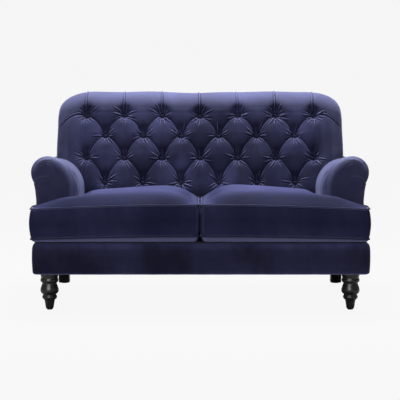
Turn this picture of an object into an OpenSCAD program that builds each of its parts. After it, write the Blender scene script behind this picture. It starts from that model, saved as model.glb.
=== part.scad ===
// Two-seat sofa with a buttoned back, rolled arms and turned front legs.
// Origin at the floor, in the middle of the width and depth. Front faces -Y.

/* [Overall] */
// Depth from the front of the cushions to the back of the top roll
depth = 930; // [900:1:980]
// Height of the back
back_h = 942; // [920:1:970]
// How far each side of the back reaches over an arm
back_over = 138; // [130:1:144]
// Width of the upholstered base
base_w = 1486; // [1340:1:1660]

/* [Base] */
// Height of the underside of the border above the floor
leg_h = 175; // [140:1:200]
// Height of the base rails
rail_h = 110; // [90:1:120]
// Thickness of the base rails
rail_t = 28; // [22:1:32]
// Padding in front of the front rail
border_pad = 22; // [18:1:26]
// Padding outside the side rails
side_pad = 8; // [6:1:10]
// Radius of the front corners of the border
border_r = 34; // [32:1:44]
// Thickness of the seat deck
deck_t = 20; // [16:1:24]

/* [Seat cushions] */
// Height between the upper and lower piping
boxing_h = 139; // [120:1:150]
// Rise of the crown above the upper piping
crown_h = 43; // [30:1:60]
// Fall of the belly below the lower piping
belly_h = 26; // [22:1:32]
// Gap between the two cushions, seam to seam
cushion_gap = 10; // [10:1:20]
// Bulge of the boxing between its seams
bulge = 7; // [2:1:9]
// Radius of the piping cord
piping_r = 3.8; // [3:0.1:3.9]
// Depth of the cushion ears in front of the arms
ear_d = 155; // [140:1:158]

/* [Arms] */
// Height of the arm top at the front
arm_h = 680; // [660:1:700]
// Fall of the arm top from front to back
arm_drop = 52; // [30:1:55]
// Width of an arm at the base
arm_w = 191; // [187:1:193]
// How far an arm roll reaches out over the base
roll_out = 14; // [9:1:22]
// Thickness of the padding on the inner side of the arms
arm_pad_t = 50; // [40:1:60]
// Radius of the inner front corner of the arms
arm_corner_r = 72; // [60:1:76]
// Depth of the domed arm front
facing_t = 14; // [10:1:18]

/* [Back] */
// Radius of the top roll
roll_r = 94; // [88:1:98]
// Lean of the buttoned face from upright, in degrees
rake = 18.3; // [17:0.1:19]
// Depth of the back, from its buttoned face above the seat to the rear of the top roll
back_d = 313; // [305:1:330]
// Width of the rounded top corners
corner_w = 190; // [165:1:200]
// Height of the rounded top corners
corner_h = 145; // [120:1:160]
// Distance of the first button row below the top of the back
row_first = 106; // [100:1:112]
// Spacing of the first two button rows
row_gap = 96; // [90:1:100]
// Growth of the spacing from one row to the next
row_growth = 8.7; // [6:0.1:10]
// Distance from the outer buttons to the inner face of an arm
button_margin = 6; // [4:1:18]
// Depth of the button pits
tuft_d = 50; // [44:1:54]
// Depth of the pleats between buttons
pleat_d = 15; // [8:1:18]
// Radius of the buttons
button_r = 13; // [10:0.5:14]

/* [Legs] */
// Distance from the side of the base to the middle of a leg
leg_inset = 73; // [68:1:83]
// Foot radius of the front legs
foot_r = 14; // [12:0.5:18]
// Largest radius of the turned ball
ball_r = 40.5; // [36:0.5:44]
// Radius of the collar at the top of the front legs
collar_r = 40; // [34:0.5:42]
// Side of the rear legs at the top
rear_leg_top = 56; // [46:1:60]
// Side of the rear legs at the foot
rear_leg_foot = 52; // [34:1:54]
// How far the rear feet stand behind the tops of their legs
rear_leg_rake = 45; // [20:1:50]
// Radius of the leg bolts
bolt_r = 4; // [3:0.5:5]

/* [Timbers and springs] */
// Thickness of the back posts
post_t = 35; // [28:1:40]
// Thickness of the arm posts
arm_post_t = 28; // [22:1:34]
// Thickness of the arm top rail
arm_rail_t = 25; // [20:1:30]
// Number of seat springs on each side of the middle
spring_pairs = 4; // [2:1:4]
// Thickness of the spring wire
wire_t = 4; // [3:0.5:5]
// Width of one spring
spring_w = 48; // [40:1:56]
// Width of the back webbing
web_w = 50; // [40:1:56]

/* [Hidden] */

// Clearance between seated pieces
seat = 0.3;
// Colours
velvet = [0.16, 0.16, 0.33];
velvet_dark = [0.13, 0.13, 0.27];
timber = [0.72, 0.58, 0.40];
black_wood = [0.06, 0.06, 0.06];
black_cloth = [0.10, 0.10, 0.11];
steel = [0.60, 0.61, 0.63];
webbing = [0.45, 0.38, 0.28];

// Base levels and lines
cover_t = 1.5;
rail_z = leg_h + 2;
rail_top = rail_z + rail_h;
front_y = -depth / 2;
border_y = front_y + 10;
front_rail_y = border_y + border_pad;
front_rail_end = front_rail_y + rail_t;
side_x = base_w / 2 - side_pad;
deck_z = rail_top + wire_t + seat;
deck_top = deck_z + deck_t;
border_inset = 20;
border_lap = 30;

// Lines of the back
roll_y = depth / 2 - roll_r;
roll_z = back_h - roll_r;
face_top_y = roll_y - roll_r * cos(rake);
face_top_z = roll_z + roll_r * sin(rake);
pad_front_y = depth / 2 - back_d;
web_rake = 10.9;
web_set = 21;
web_gap = 3.3;
out_rake = 6.45;
out_set = 71;
out_fall = 58;
panel_t = 6;
roll_end_z = roll_z - out_fall;
top_rail_z = roll_z - 48;
top_rail_h = 66;
top_rail_y = roll_y + 60;
post_cut_z = roll_end_z - 14;
arm_in = base_w / 2 - arm_w;
back_w = 2 * (arm_in + back_over);
post_x = arm_in - 12;
wing_x = back_w / 2 - 60;

// Front face of the back frame and rear face of the sofa at a height z
function web_y(z) = roll_y - web_set - (roll_z - z) * tan(web_rake);
function out_y(z) = roll_y + out_set - (roll_end_z - z) * tan(out_rake);
function frame_y(z) = out_y(z) - panel_t;
rear_rail_y = frame_y(rail_z);

// Lines of the arms
arm_out = base_w / 2 + roll_out;
arm_top_x = arm_out - 77;
arm_post_out = side_x - side_pad;
arm_pad_in = arm_in + arm_pad_t;
facing_y = front_y + ear_d + 8;
arm_front_y = facing_y + facing_t;
arm_level_y = pad_front_y - 2;
arm_roll_r = 26;
arm_rise = 140;
roll_fall = 72;
roll_tuck = 120;
arm_under = 60;
waist_fall = 200;
waist_in = 10;

function lerp(a, b, t) = a + (b - a) * t;
function clamp(v, lo, hi) = max(lo, min(hi, v));
function smooth(t) = let (u = clamp(t, 0, 1)) u * u * (3 - 2 * u);
function sum(v, i = 0) = i >= len(v) ? 0 : v[i] + sum(v, i + 1);
function unit(v) = v / norm(v);
function joined(lists) = [for (l = lists, p = l) p];

// Mirrored copy for the left side
module left_side() { mirror([1, 0, 0]) children(); }

// Faces of a tube of rings with m points each
function wall_faces(count, m) = [
    for (i = [0:count - 2], j = [0:m - 1])
        let (a = i * m + j, b = i * m + (j + 1) % m)
        for (t = [[a, b, b + m], [a, b + m, a + m]]) t
];
// Faces of an end ring, in strips between point k and point m - 1 - k
function strip_cap(m, start) = [
    for (k = [0:m / 2 - 2])
        let (a = start + k, b = a + 1, c = start + m - 2 - k, d = c + 1)
        for (t = [[a, b, c], [a, c, d]]) t
];
function flipped(faces) = [for (f = faces) [f[2], f[1], f[0]]];

// Solid through closed rings, with strip caps at both ends
module skin(rings, turn = false) {
    m = len(rings[0]);
    n = len(rings);
    faces = concat(wall_faces(n, m), flipped(strip_cap(m, 0)), strip_cap(m, (n - 1) * m));
    polyhedron(joined(rings), turn ? flipped(faces) : faces, convexity = 10);
}

// Closed tube of radius r with six sides round a loop of points
module loop_tube(pts, r, sides = 6) {
    n = len(pts);
    ring = function (k)
        let (t = unit(pts[(k + 1) % n] - pts[(k + n - 1) % n]))
        let (u = unit(cross(t, [0, 0, 1])), w = cross(u, t))
        [for (a = [0:sides - 1]) pts[k] + r * (u * cos(360 * a / sides) + w * sin(360 * a / sides))];
    faces = [
        for (i = [0:n - 1], j = [0:sides - 1])
            let (a = i * sides + j, b = i * sides + (j + 1) % sides)
            let (c = ((i + 1) % n) * sides + (j + 1) % sides, d = ((i + 1) % n) * sides + j)
            for (t = [[a, b, c], [a, c, d]]) t
    ];
    polyhedron(joined([for (k = [0:n - 1]) ring(k)]), faces, convexity = 6);
}

// A flat plate whose outline lies in Y and Z, from x0 to x1
module side_plate(x0, x1, outline) {
    translate([x0, 0, 0]) rotate([90, 0, 90]) linear_extrude(x1 - x0) polygon(outline);
}

// A flat plate whose outline lies in X and Z, from y0 to y1
module front_plate(y0, y1, outline) {
    translate([0, y1, 0]) rotate([90, 0, 0]) linear_extrude(y1 - y0) polygon(outline);
}

module box(x0, x1, y0, y1, z0, z1) {
    translate([x0, y0, z0]) cube([x1 - x0, y1 - y0, z1 - z0]);
}

// Base

// Stations of the right half of the border: point, outward direction and padding thickness
border_cx = base_w / 2 - border_r;
border_cy = border_y + border_r;
border_path = concat(
    [for (t = [0, 0.34, 0.68, 0.9]) [[t * border_cx, border_y], [0, -1], border_pad]],
    [for (a = [0:22.5:90])
        [[border_cx, border_cy] + border_r * [sin(a), -cos(a)], [sin(a), -cos(a)],
         lerp(border_pad, side_pad, a / 90)]],
    [[[base_w / 2, arm_front_y - seat], [1, 0], side_pad]]
);
function path_point(s, d) = s[0] - s[1] * d;

module front_rail() {
    rail_path = [for (s = border_path) if (s[0][1] < front_rail_end) path_point(s, s[2])];
    right = concat(rail_path, [[side_x, front_rail_end]]);
    outline = concat(right, [for (i = [len(right) - 1:-1:1]) [-right[i][0], right[i][1]]]);
    color(timber) translate([0, 0, rail_z]) linear_extrude(rail_h) polygon(outline);
}

module rear_rail() {
    color(timber) box(-side_x + rail_t, side_x - rail_t, rear_rail_y - rail_t, rear_rail_y, rail_z, rail_top);
}

module right_side_rail() {
    color(timber) box(side_x - rail_t, side_x, front_rail_end, rear_rail_y, rail_z, rail_top);
}
module left_side_rail() { left_side() right_side_rail(); }

module centre_rail() {
    color(timber)
        box(-rail_t / 2, rail_t / 2, front_rail_end, rear_rail_y - rail_t, rail_z, rail_top - 10);
}

leg_x = base_w / 2 - leg_inset;
front_leg_y = front_rail_end + 40;
rear_leg_y = rear_rail_y - rail_t - 10;
block_h = 60;
block_l = 86;
block_d = 80;
bolt_y = [front_leg_y, rear_leg_y - 10];
bore_r = bolt_r + 0.1;
bolt_drop = 35;
bolt_grip = 45;

module corner_blocks() {
    color(timber) for (side = [-1, 1], rear = [0, 1]) {
        x0 = side_x - rail_t - block_l;
        y0 = rear == 0 ? front_rail_end : rear_rail_y - rail_t - block_d;
        difference() {
            mirror([side < 0 ? 1 : 0, 0, 0]) box(x0, x0 + block_l, y0, y0 + block_d, rail_z, rail_z + block_h);
            translate([side * leg_x, bolt_y[rear], rail_z - 1]) cylinder(h = block_h + 2, r = bore_r, $fn = 32);
        }
    }
}

module leg_bolts() {
    color(steel) for (side = [-1, 1], y = bolt_y)
        translate([side * leg_x, y, rail_z - bolt_drop]) cylinder(h = bolt_drop + bolt_grip, r = bolt_r, $fn = 32);
}

glide_t = 3;
glide_r = [foot_r - 2, rear_leg_foot / 2 - 7];

module foot_glides() {
    color(black_cloth) for (side = [-1, 1]) {
        translate([side * leg_x, front_leg_y, 0]) cylinder(h = glide_t, r = glide_r[0], $fn = 32);
        translate([side * leg_x, rear_leg_y + rear_leg_rake, 0]) cylinder(h = glide_t, r = glide_r[1], $fn = 32);
    }
}

// Rounded bead of a turned leg between two heights
function bead(z0, z1, r_edge, r_max, n) = [
    for (i = [0:n]) [r_edge + (r_max - r_edge) * sin(180 * i / n), lerp(z0, z1, i / n)]
];

// Outline of the ball of a front leg, fullest below its middle, as shares of its height and fullness
ball_bulge = [[0, 0], [0.08, 0.55], [0.2, 0.88], [0.36, 1], [0.52, 0.93], [0.68, 0.72], [0.82, 0.47], [0.93, 0.29],
    [1, 0.2]];

// Height at which the turning is drawn, before it is fitted to the height of the leg
turned_h = 174;

module front_right_leg() {
    k = (rail_z - glide_t) / turned_h;
    neck_r = foot_r + 15;
    turning = concat(
        [[0, 0], [foot_r, 0], [foot_r + 2.5, 9], [foot_r + 5, 22], [foot_r + 8, 36], [foot_r + 12, 43]],
        bead(47, 61, ball_r - 11, ball_r - 7, 5), [[neck_r, 63.5]],
        [for (i = [0:8]) let (b = ball_bulge[i]) [lerp(neck_r + 1, ball_r, b[1]), lerp(66, 116, b[0])]],
        [[neck_r + 2, 119]],
        bead(121, 140, collar_r - 5, collar_r, 6), [[collar_r - 3, 144], [collar_r - 3, turned_h], [0, turned_h]]
    );
    color(black_wood) translate([leg_x, front_leg_y, glide_t]) difference() {
        rotate_extrude($fn = 64) polygon([for (p = turning) [p[0], p[1] * k]]);
        translate([0, 0, turned_h * k - bolt_drop - 1]) cylinder(h = bolt_drop + 2, r = bore_r, $fn = 32);
    }
}
module front_left_leg() { left_side() front_right_leg(); }

module square_slice(side, z) {
    translate([-side / 2, -side / 2, z]) cube([side, side, 0.01]);
}

module rear_right_leg() {
    leg_len = rail_z - glide_t;
    color(black_wood) difference() {
        hull() {
            translate([leg_x, rear_leg_y + rear_leg_rake, 0]) square_slice(rear_leg_foot, glide_t);
            translate([leg_x, rear_leg_y, 0]) square_slice(rear_leg_top, glide_t + leg_len - 0.01);
        }
        translate([leg_x, bolt_y[1], rail_z - bolt_drop - 1])
            cylinder(h = bolt_drop + 2, r = bore_r, $fn = 32);
    }
}
module rear_left_leg() { left_side() rear_right_leg(); }

module dust_cover() {
    room = 3;
    color(black_cloth) difference() {
        box(-base_w / 2 + border_lap + 4, base_w / 2 - border_lap - 4, border_y + border_lap + 4, rear_rail_y - 12,
            rail_z - cover_t, rail_z);
        for (side = [-1, 1]) {
            translate([side * leg_x, front_leg_y, rail_z - 5])
                cylinder(h = 10, r = collar_r + room, $fn = 48);
            translate([side * leg_x - rear_leg_top / 2 - room, rear_leg_y - rear_leg_top / 2 - room, rail_z - 5])
                cube([rear_leg_top + 2 * room, rear_leg_top + 3 * room, 10]);
        }
    }
}

module front_border() {
    // Inward offset and height of each point of the padded section
    section = function (s) [
        [3, leg_h], [0, leg_h + 5], [0, rail_top - 2], [5, rail_top + 10], [12, rail_top + 17.5],
        [border_inset, rail_top + 20.5], [border_inset, rail_top + seat], [s[2], rail_top + seat],
        [s[2], rail_z - seat / 2], [border_lap - 1, rail_z - seat / 2], [border_lap - 1, leg_h], [16, leg_h]
    ];
    right = [for (s = border_path) [for (q = section(s)) concat(path_point(s, q[0]), q[1])]];
    left = [for (i = [len(right) - 1:-1:1]) [for (p = right[i]) [-p[0], p[1], p[2]]]];
    color(velvet_dark) border_solid(concat(left, right));
}

// Ends of the border are closed by hand-picked triangles of its twelve-point section
module border_solid(rings) {
    m = len(rings[0]);
    n = len(rings);
    cap = [[0, 1, 11], [1, 8, 11], [11, 8, 9], [11, 9, 10], [1, 2, 8], [2, 7, 8], [2, 3, 7], [3, 4, 7],
           [4, 6, 7], [4, 5, 6]];
    ends = concat(flipped(cap), [for (f = cap) f + [1, 1, 1] * (n - 1) * m]);
    polyhedron(joined(rings), concat(wall_faces(n, m), ends), convexity = 10);
}

module seat_deck() {
    x = base_w / 2 - border_inset - seat;
    y = border_y + border_inset + seat;
    inner = arm_in - 0.5;
    r = border_r - border_inset;
    corner = [for (a = [0:30:90]) [x - r + r * sin(a), y + r - r * cos(a)]];
    right = concat(corner, [[x, arm_front_y - seat], [inner, arm_front_y - seat], [inner, web_y(deck_top) - 8]]);
    outline = concat(right, [for (i = [len(right) - 1:-1:0]) [-right[i][0], right[i][1]]]);
    color(black_cloth) difference() {
        translate([0, 0, deck_z]) linear_extrude(deck_t) polygon(outline);
        for (side = [-1, 1]) mirror([side < 0 ? 1 : 0, 0, 0])
            box(post_x - post_t - 1, post_x + 1, web_y(deck_z) - 2, web_y(deck_top), deck_z - 1, deck_top + 1);
    }
}

// Springs run from the front rail to the rear rail in flat zigzag bends
spring_y0 = front_rail_end - 6;
spring_y1 = rear_rail_y - rail_t + 6;
spring_room = 20;
spring_x0 = post_t / 2 + spring_w / 2 + spring_room;
spring_x1 = post_x - post_t - spring_w / 2 - spring_room;
spring_xs = [for (side = [-1, 1], i = [0:spring_pairs - 1]) side * lerp(spring_x0, spring_x1, i / (spring_pairs - 1))];
clip_w = 22;
clip_l = 14;

module seat_springs() {
    bends = 14;
    steps = bends * 8;
    line = [for (k = [0:steps])
        let (t = k / steps, a = 360 * t * bends / 2)
        [(spring_w - wire_t) / 2 * sin(a) * (1 - 0.15 * pow(sin(a), 2)), lerp(spring_y0, spring_y1, t)]];
    side = function (k, d)
        let (t = unit(line[min(k + 1, steps)] - line[max(k - 1, 0)])) line[k] + d * wire_t / 2 * [t[1], -t[0]];
    wire = concat([for (k = [0:steps]) side(k, 1)], [for (k = [steps:-1:0]) side(k, -1)]);
    color(steel) for (x = spring_xs)
        translate([x, 0, rail_top]) linear_extrude(wire_t) polygon(wire);
}

module spring_clips() {
    reach = seat + wire_t / 2;
    color(steel) for (x = spring_xs) {
        translate([x - clip_w / 2, spring_y0 - reach - clip_l, rail_top]) cube([clip_w, clip_l, wire_t]);
        translate([x - clip_w / 2, spring_y1 + reach, rail_top]) cube([clip_w, clip_l, wire_t]);
    }
}

// Back frame

function post_outline() = [
    [web_y(rail_z), rail_z], [rear_rail_y - rail_t, rail_z], [rear_rail_y - rail_t, rail_top],
    [frame_y(rail_top), rail_top], [frame_y(post_cut_z), post_cut_z], [top_rail_y, roll_end_z - 2],
    [top_rail_y, top_rail_z],
    [web_y(top_rail_z), top_rail_z]
];

module right_back_post() { color(timber) side_plate(post_x - post_t, post_x, post_outline()); }
module left_back_post() { left_side() right_back_post(); }

module back_centre_post() {
    z0 = rail_top;
    color(timber) side_plate(-post_t / 2, post_t / 2,
        [[web_y(z0) + 6, z0], [frame_y(z0), z0], [frame_y(post_cut_z), post_cut_z],
         [top_rail_y, roll_end_z - 2], [top_rail_y, top_rail_z], [web_y(top_rail_z) + 6, top_rail_z]]);
}

module back_top_rail() {
    z1 = cavity_top(post_x) - seat;
    color(timber) side_plate(-post_x, post_x,
        [[web_y(top_rail_z), top_rail_z], [top_rail_y, top_rail_z], [top_rail_y, z1 - 10], [top_rail_y - 10, z1],
         [web_y(z1), z1]]);
}

tack_h = 60;
tack_t = 25;
tack_rise = 20;

module back_tack_rails() {
    z0 = deck_top + tack_rise;
    z1 = z0 + tack_h;
    t = tack_t;
    color(timber) for (side = [-1, 1]) mirror([side < 0 ? 1 : 0, 0, 0])
        side_plate(post_t / 2, post_x - post_t,
            [[web_y(z0), z0], [web_y(z0) + t, z0], [web_y(z1) + t, z1], [web_y(z1), z1]]);
}

// Thickness of the wings, and how far they stand behind the webbing, above the arms and in from the sides
wing_t = 20;
wing_back = 40;
wing_rise = 25;
wing_in = 30;

module back_wings() {
    y0 = web_y(top_rail_z) + wing_back;
    z0 = arm_h - arm_drop + wing_rise;
    x1 = wing_x - wing_in;
    xs = [for (t = [0:0.2:1]) lerp(post_x, x1, t)];
    outline = concat([[x1, z0], [post_x, z0]], [for (x = xs) [x, cavity_top(x) - 3]]);
    color(timber) for (side = [-1, 1]) mirror([side < 0 ? 1 : 0, 0, 0]) front_plate(y0, y0 + wing_t, outline);
}

// First and last cross band, measured from the ends of the upright bands
web_first = 80;
web_last = 110;

module back_webbing() {
    t = web_gap / 2 - 0.1;
    z0 = deck_top + 25;
    z1 = top_rail_z + top_rail_h - 10;
    band = function (lo, hi, near) [
        [web_y(lo) - near, lo], [web_y(hi) - near, hi], [web_y(hi) - near - t, hi], [web_y(lo) - near - t, lo]
    ];
    color(webbing) {
        for (k = [-3:3]) {
            x = k * (post_x - post_t / 2) * 2 / 7;
            side_plate(x - web_w / 2, x + web_w / 2, band(z0, z1, 0.05));
        }
        for (k = [0:3]) {
            z = lerp(z0 + web_first, z1 - web_last, k / 3);
            side_plate(-post_x, post_x, band(z, z + web_w, t + 0.1));
        }
    }
}

// Arms, right side. Section points follow the fall of the arm top.

function arm_top(y) = arm_h - arm_drop * clamp((y - facing_y) / (arm_level_y - facing_y), 0, 1);
// Quarter of a full oval, with a at 0 on the side and at 90 on the top
function oval(a, w, h) = [w * (1 - cos(a)), h * sin(a)];
oval_steps = [0, 20, 40, 58, 75, 90];
// Rounding of the arm front at a distance d behind it, for an edge radius r
function edge_in(d, r) = d >= r ? 0 : r - sqrt(r * r - pow(r - d, 2));

// Outer curve of the arm: inner face, top and roll
function arm_curve(y) =
    let (d = y - facing_y, top = arm_top(y) - edge_in(d, arm_roll_r), z_side = arm_top(y) - arm_rise)
    let (x_in = arm_in + edge_in(d, arm_corner_r), x_out = arm_out - edge_in(d, arm_roll_r))
    let (rise = top - z_side, fall = roll_fall - edge_in(d, arm_roll_r))
    concat(
        [for (a = oval_steps) let (q = oval(a, arm_top_x - x_in, rise)) [x_in + q[0], z_side + q[1]]],
        [for (i = [4:-1:0]) let (q = oval(oval_steps[i], x_out - arm_top_x, fall)) [x_out - q[0], top - fall + q[1]]],
        [[x_out - 3, arm_top(y) - roll_tuck + 16], [x_out - 12, arm_top(y) - roll_tuck]]
    );

// Full ring of the arm padding: the outer curve and, opposite each point, the frame inside it
function arm_ring(y) =
    let (curve = arm_curve(y), cover = arm_top(y) - arm_under + seat, low = deck_z)
    let (outer = concat([[curve[0][0], low], [curve[0][0], lerp(low, curve[0][1], 0.5)]], curve))
    let (inner = [
        for (k = [0:len(outer) - 1])
            k < 4 ? [arm_pad_in, min(outer[k][1], cover - 30)]
            : k < 12 ? [lerp(arm_pad_in, arm_post_out + seat, (k - 4) / 7), cover]
            : [arm_post_out + seat, outer[k][1]]
    ])
    [for (p = concat(outer, [for (i = [len(inner) - 1:-1:0]) inner[i]])) [p[0], y, p[1]]];

module right_arm_pad() {
    ys = concat([arm_front_y, facing_y + 20, facing_y + 27, facing_y + 40, facing_y + 56, facing_y + arm_corner_r],
        [lerp(facing_y + arm_corner_r, arm_level_y, 0.33), lerp(facing_y + arm_corner_r, arm_level_y, 0.66),
         arm_level_y]);
    rear = [for (p = arm_ring(arm_level_y + 1)) [p[0], frame_y(p[2]) - seat, p[2]]];
    color(velvet) skin(concat([for (y = ys) arm_ring(y)], [rear]), true);
}
module left_arm_pad() { left_side() right_arm_pad(); }

// Outline of the arm front: the arm curve, then down the outside to the deck
function facing_ring(y) =
    let (curve = arm_curve(y), in = edge_in(y - facing_y, arm_roll_r), low = deck_top + seat)
    concat(
        [[curve[0][0], y, low]], [for (p = curve) [p[0], y, p[1]]],
        [[base_w / 2 - waist_in - in, y, arm_h - waist_fall],
         [base_w / 2 - 4 - in, y, lerp(low, arm_h - waist_fall, 0.4)],
         [base_w / 2 - 2 - in, y, low]]
    );

module right_arm_front() {
    rings = [for (y = [arm_front_y - seat, facing_y + 8, facing_y + 3, facing_y + 0.8, facing_y]) facing_ring(y)];
    m = len(rings[0]);
    n = len(rings);
    pts = joined(rings);
    middle = [sum([for (p = rings[n - 1]) p[0]]) / m, facing_y, sum([for (p = rings[n - 1]) p[2]]) / m];
    back_middle = [middle[0], arm_front_y - seat, middle[2]];
    count = n * m;
    faces = concat(
        wall_faces(n, m),
        [for (j = [0:m - 1]) [(n - 1) * m + j, (n - 1) * m + (j + 1) % m, count]],
        [for (j = [0:m - 1]) [(j + 1) % m, j, count + 1]]
    );
    color(velvet_dark) polyhedron(concat(pts, [middle, back_middle]), faces, convexity = 6);
}
module left_arm_front() { left_side() right_arm_front(); }

// Height of the straight lower part of the outside arm
skirt_h = 125;

module right_outside_arm() {
    section = function (y) let (z1 = arm_top(y) - roll_tuck - seat) [
        [side_x, leg_h], [base_w / 2, leg_h], [base_w / 2 - 1, leg_h + skirt_h],
        [base_w / 2 - waist_in, arm_h - waist_fall],
        [base_w / 2 + 1, z1], [arm_post_out, z1], [arm_post_out, rail_top + seat], [side_x, rail_top + seat]
    ];
    ys = [arm_front_y, lerp(arm_front_y, arm_level_y, 0.5), arm_level_y];
    rings = concat(
        [for (y = ys) [for (q = section(y)) [q[0], y, q[1]]]],
        [[for (q = section(arm_level_y)) [q[0], frame_y(q[1]) - seat, q[1]]]]
    );
    m = 8;
    n = len(rings);
    cap = [[0, 1, 7], [1, 2, 7], [7, 2, 6], [6, 2, 3], [6, 3, 5], [3, 4, 5]];
    ends = concat(flipped(cap), [for (f = cap) f + [1, 1, 1] * (n - 1) * m]);
    color(velvet_dark) polyhedron(joined(rings), concat(wall_faces(n, m), ends), convexity = 6);
}
module left_outside_arm() { left_side() right_outside_arm(); }

// Timbers of the arms
arm_rear_post_y = arm_level_y + 150;
arm_tack_h = 45;
function arm_under_z(y) = arm_top(y) - arm_under;

module right_arm_posts() {
    for (y = [arm_front_y, arm_rear_post_y])
        color(timber) side_plate(arm_pad_in, arm_post_out, [
            [y, rail_top], [y + arm_post_t, rail_top],
            [y + arm_post_t, arm_under_z(y + arm_post_t) - arm_rail_t], [y, arm_under_z(y) - arm_rail_t]
        ]);
}
module left_arm_posts() { left_side() right_arm_posts(); }

module right_arm_top_rail() {
    ys = [arm_front_y, arm_level_y, arm_rear_post_y + arm_post_t];
    color(timber) side_plate(arm_pad_in, arm_post_out, concat(
        [for (y = ys) [y, arm_under_z(y) - arm_rail_t]], [for (i = [2:-1:0]) [ys[i], arm_under_z(ys[i])]]));
}
module left_arm_top_rail() { left_side() right_arm_top_rail(); }

module right_arm_tack_rail() {
    color(timber)
        box(arm_pad_in, arm_pad_in + tack_t, arm_front_y + arm_post_t, arm_rear_post_y,
            deck_top, deck_top + arm_tack_h);
}
module left_arm_tack_rail() { left_side() right_arm_tack_rail(); }

// Buttoned back

row_count = 4;
// Height of button row r, counted from the top
function row_z(r) = back_h - row_first - r * row_gap - row_growth * r * (r - 1) / 2;
// Row number at a height z, with thirds between the rows
function row_at(z) =
    z >= row_z(1) ? (row_z(0) - z) / (row_z(0) - row_z(1))
    : z >= row_z(2) ? 1 + (row_z(1) - z) / (row_z(1) - row_z(2))
    : 2 + (row_z(2) - z) / (row_z(2) - row_z(3));
last_button = arm_in - button_margin;
button_pitch = last_button / 3;
half_pitch = button_pitch / 2;

// How far the top corner falls at a width x, and how much of it a height z takes
function corner_drop(x) =
    let (t = clamp((abs(x) - (back_w / 2 - corner_w)) / corner_w, 0, 1)) corner_h * (1 - pow(1 - t * t, 0.3));
fall_z = arm_h - arm_drop + 20;
function fallen(x, z) = z - corner_drop(x) * smooth((z - fall_z) / (back_h - fall_z));
function cavity_top(x) = fallen(x, top_rail_z + top_rail_h + seat);
// Rounding of the side edges of the back
function side_edge(x) = let (t = clamp((abs(x) - (back_w / 2 - 55)) / 55, 0, 1)) 45 * (1 - sqrt(1 - t * t));

// Depth of pits and pleats at a width x and row number b
function fold_to(u) = abs((u + 100) % 2 - 1);
function tuft(x, b) =
    let (a = x / half_pitch, inside = abs(x) <= last_button + 1 && b >= -0.01 && b <= row_count - 0.99)
    let (p = min(1 - fold_to(a + b), 1 - fold_to(a - b)))
    let (pleat = inside ? pleat_d * max(0, 1 - 3 * p) : 0)
    let (up = b < 0 ? pleat_d * max(0, 1 - 3 * (1 - fold_to(a))) * max(0.25, 1 + b) : 0)
    let (down = b > row_count - 1 ? pleat_d * max(0, 1 - 3 * (1 - fold_to(a + 1))) * max(0, 4 - b) : 0)
    max(pit(x, b), pleat, abs(x) <= last_button + 1 ? max(up, down) : 0);
// Depth of the pit of the nearest button, which opens wider on the plain side margins
pit_r = 31;
pit_wide = 44;
function pit(x, b) =
    let (r = clamp(round(b), 0, row_count - 1))
    let (a0 = x / button_pitch - (r % 2) / 2, limit = r % 2 == 0 ? 3 : 2)
    let (k = clamp(round(a0), r % 2 == 0 ? -3 : -3, limit))
    let (dx = (a0 - k) * button_pitch, dz = (b - r) * (row_gap + 10))
    let (away = sqrt(dx * dx + dz * dz))
    max(0, tuft_d * (1 - away / (abs(x) > last_button + 0.5 ? pit_wide : pit_r)));

// Point of the padded face at a width x and height z, pushed in by d
function face_point(x, z, d) =
    let (y = face_top_y - (face_top_z - z) * tan(rake), low = y < pad_front_y)
    low ? [x, pad_front_y + d + side_edge(x), z]
    : [x, y + d * cos(rake) + side_edge(x), fallen(x, z - d * sin(rake))];
// Point of the top roll at an angle a from the rear, pushed in by d
function roll_point(x, a, d) =
    let (r = roll_r - d, e = side_edge(x))
    [x, roll_y + r * cos(a) - e * (cos(a) > 0 ? 0.25 : 1) * cos(a), fallen(x, roll_z + r * sin(a))];

face_zs = concat(
    [deck_top + seat, lerp(deck_top, row_z(row_count - 1), 0.5)],
    [for (r = [row_count - 1:-1:1], t = [0, 1 / 3, 2 / 3]) lerp(row_z(r), row_z(r - 1), t)],
    [row_z(0), face_top_z]
);
roll_as = [128, 90, 45, 0, -asin(out_fall / roll_r)];

// Lowest height of the back pad at a width x: the deck between the arms, the arm top beyond them
arm_table = [
    for (p = arm_curve(arm_level_y)) if (p[0] < back_w / 2 + 30 && p[1] > arm_h - arm_drop - arm_rise - 1) p
];
function pad_low(x) = abs(x) < arm_in - 1 ? deck_top + seat : lookup(max(abs(x), arm_in), arm_table) + 0.5;
function pad_z(x, z) =
    let (low = pad_low(x), mid = max(row_z(2), low + 65), z0 = deck_top + seat)
    z >= mid || low == z0 ? z : lerp(low, mid, (z - z0) / (mid - z0));

function pad_ring(x) =
    let (low = pad_low(x), flap = abs(x) > wing_x)
    concat(
        [for (z = face_zs) let (h = pad_z(x, z), s = face_point(x, h, tuft(x, row_at(h)))) s],
        [for (a = roll_as) roll_point(x, a, a > 100 ? tuft(x, -0.6) : tuft(x, -1))],
        flap ? [for (t = [0:1 / 3:1]) let (z = lerp(fallen(x, roll_end_z), low, t)) [x, frame_y(z) - seat, z]]
        : [[x, top_rail_y + seat, fallen(x, roll_end_z)], [x, top_rail_y + seat, cavity_top(x)],
           [x, web_y(cavity_top(x)) - web_gap, cavity_top(x)], [x, web_y(low) - web_gap, low]]
    );

// Widths of the pad's side columns: either side of the arm's inner face, then the points of the arm curve
arm_xs = [for (p = arm_table) if (p[0] > arm_in + 1 && p[0] < back_w / 2 - 6) p[0]];
side_xs = concat(
    [arm_in - 1.8, arm_in - 0.4], [for (x = arm_xs) if (x < back_w / 2 - 30) x], [back_w / 2 - 28],
    [for (x = arm_xs) if (x >= back_w / 2 - 30) x], [back_w / 2]
);

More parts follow.
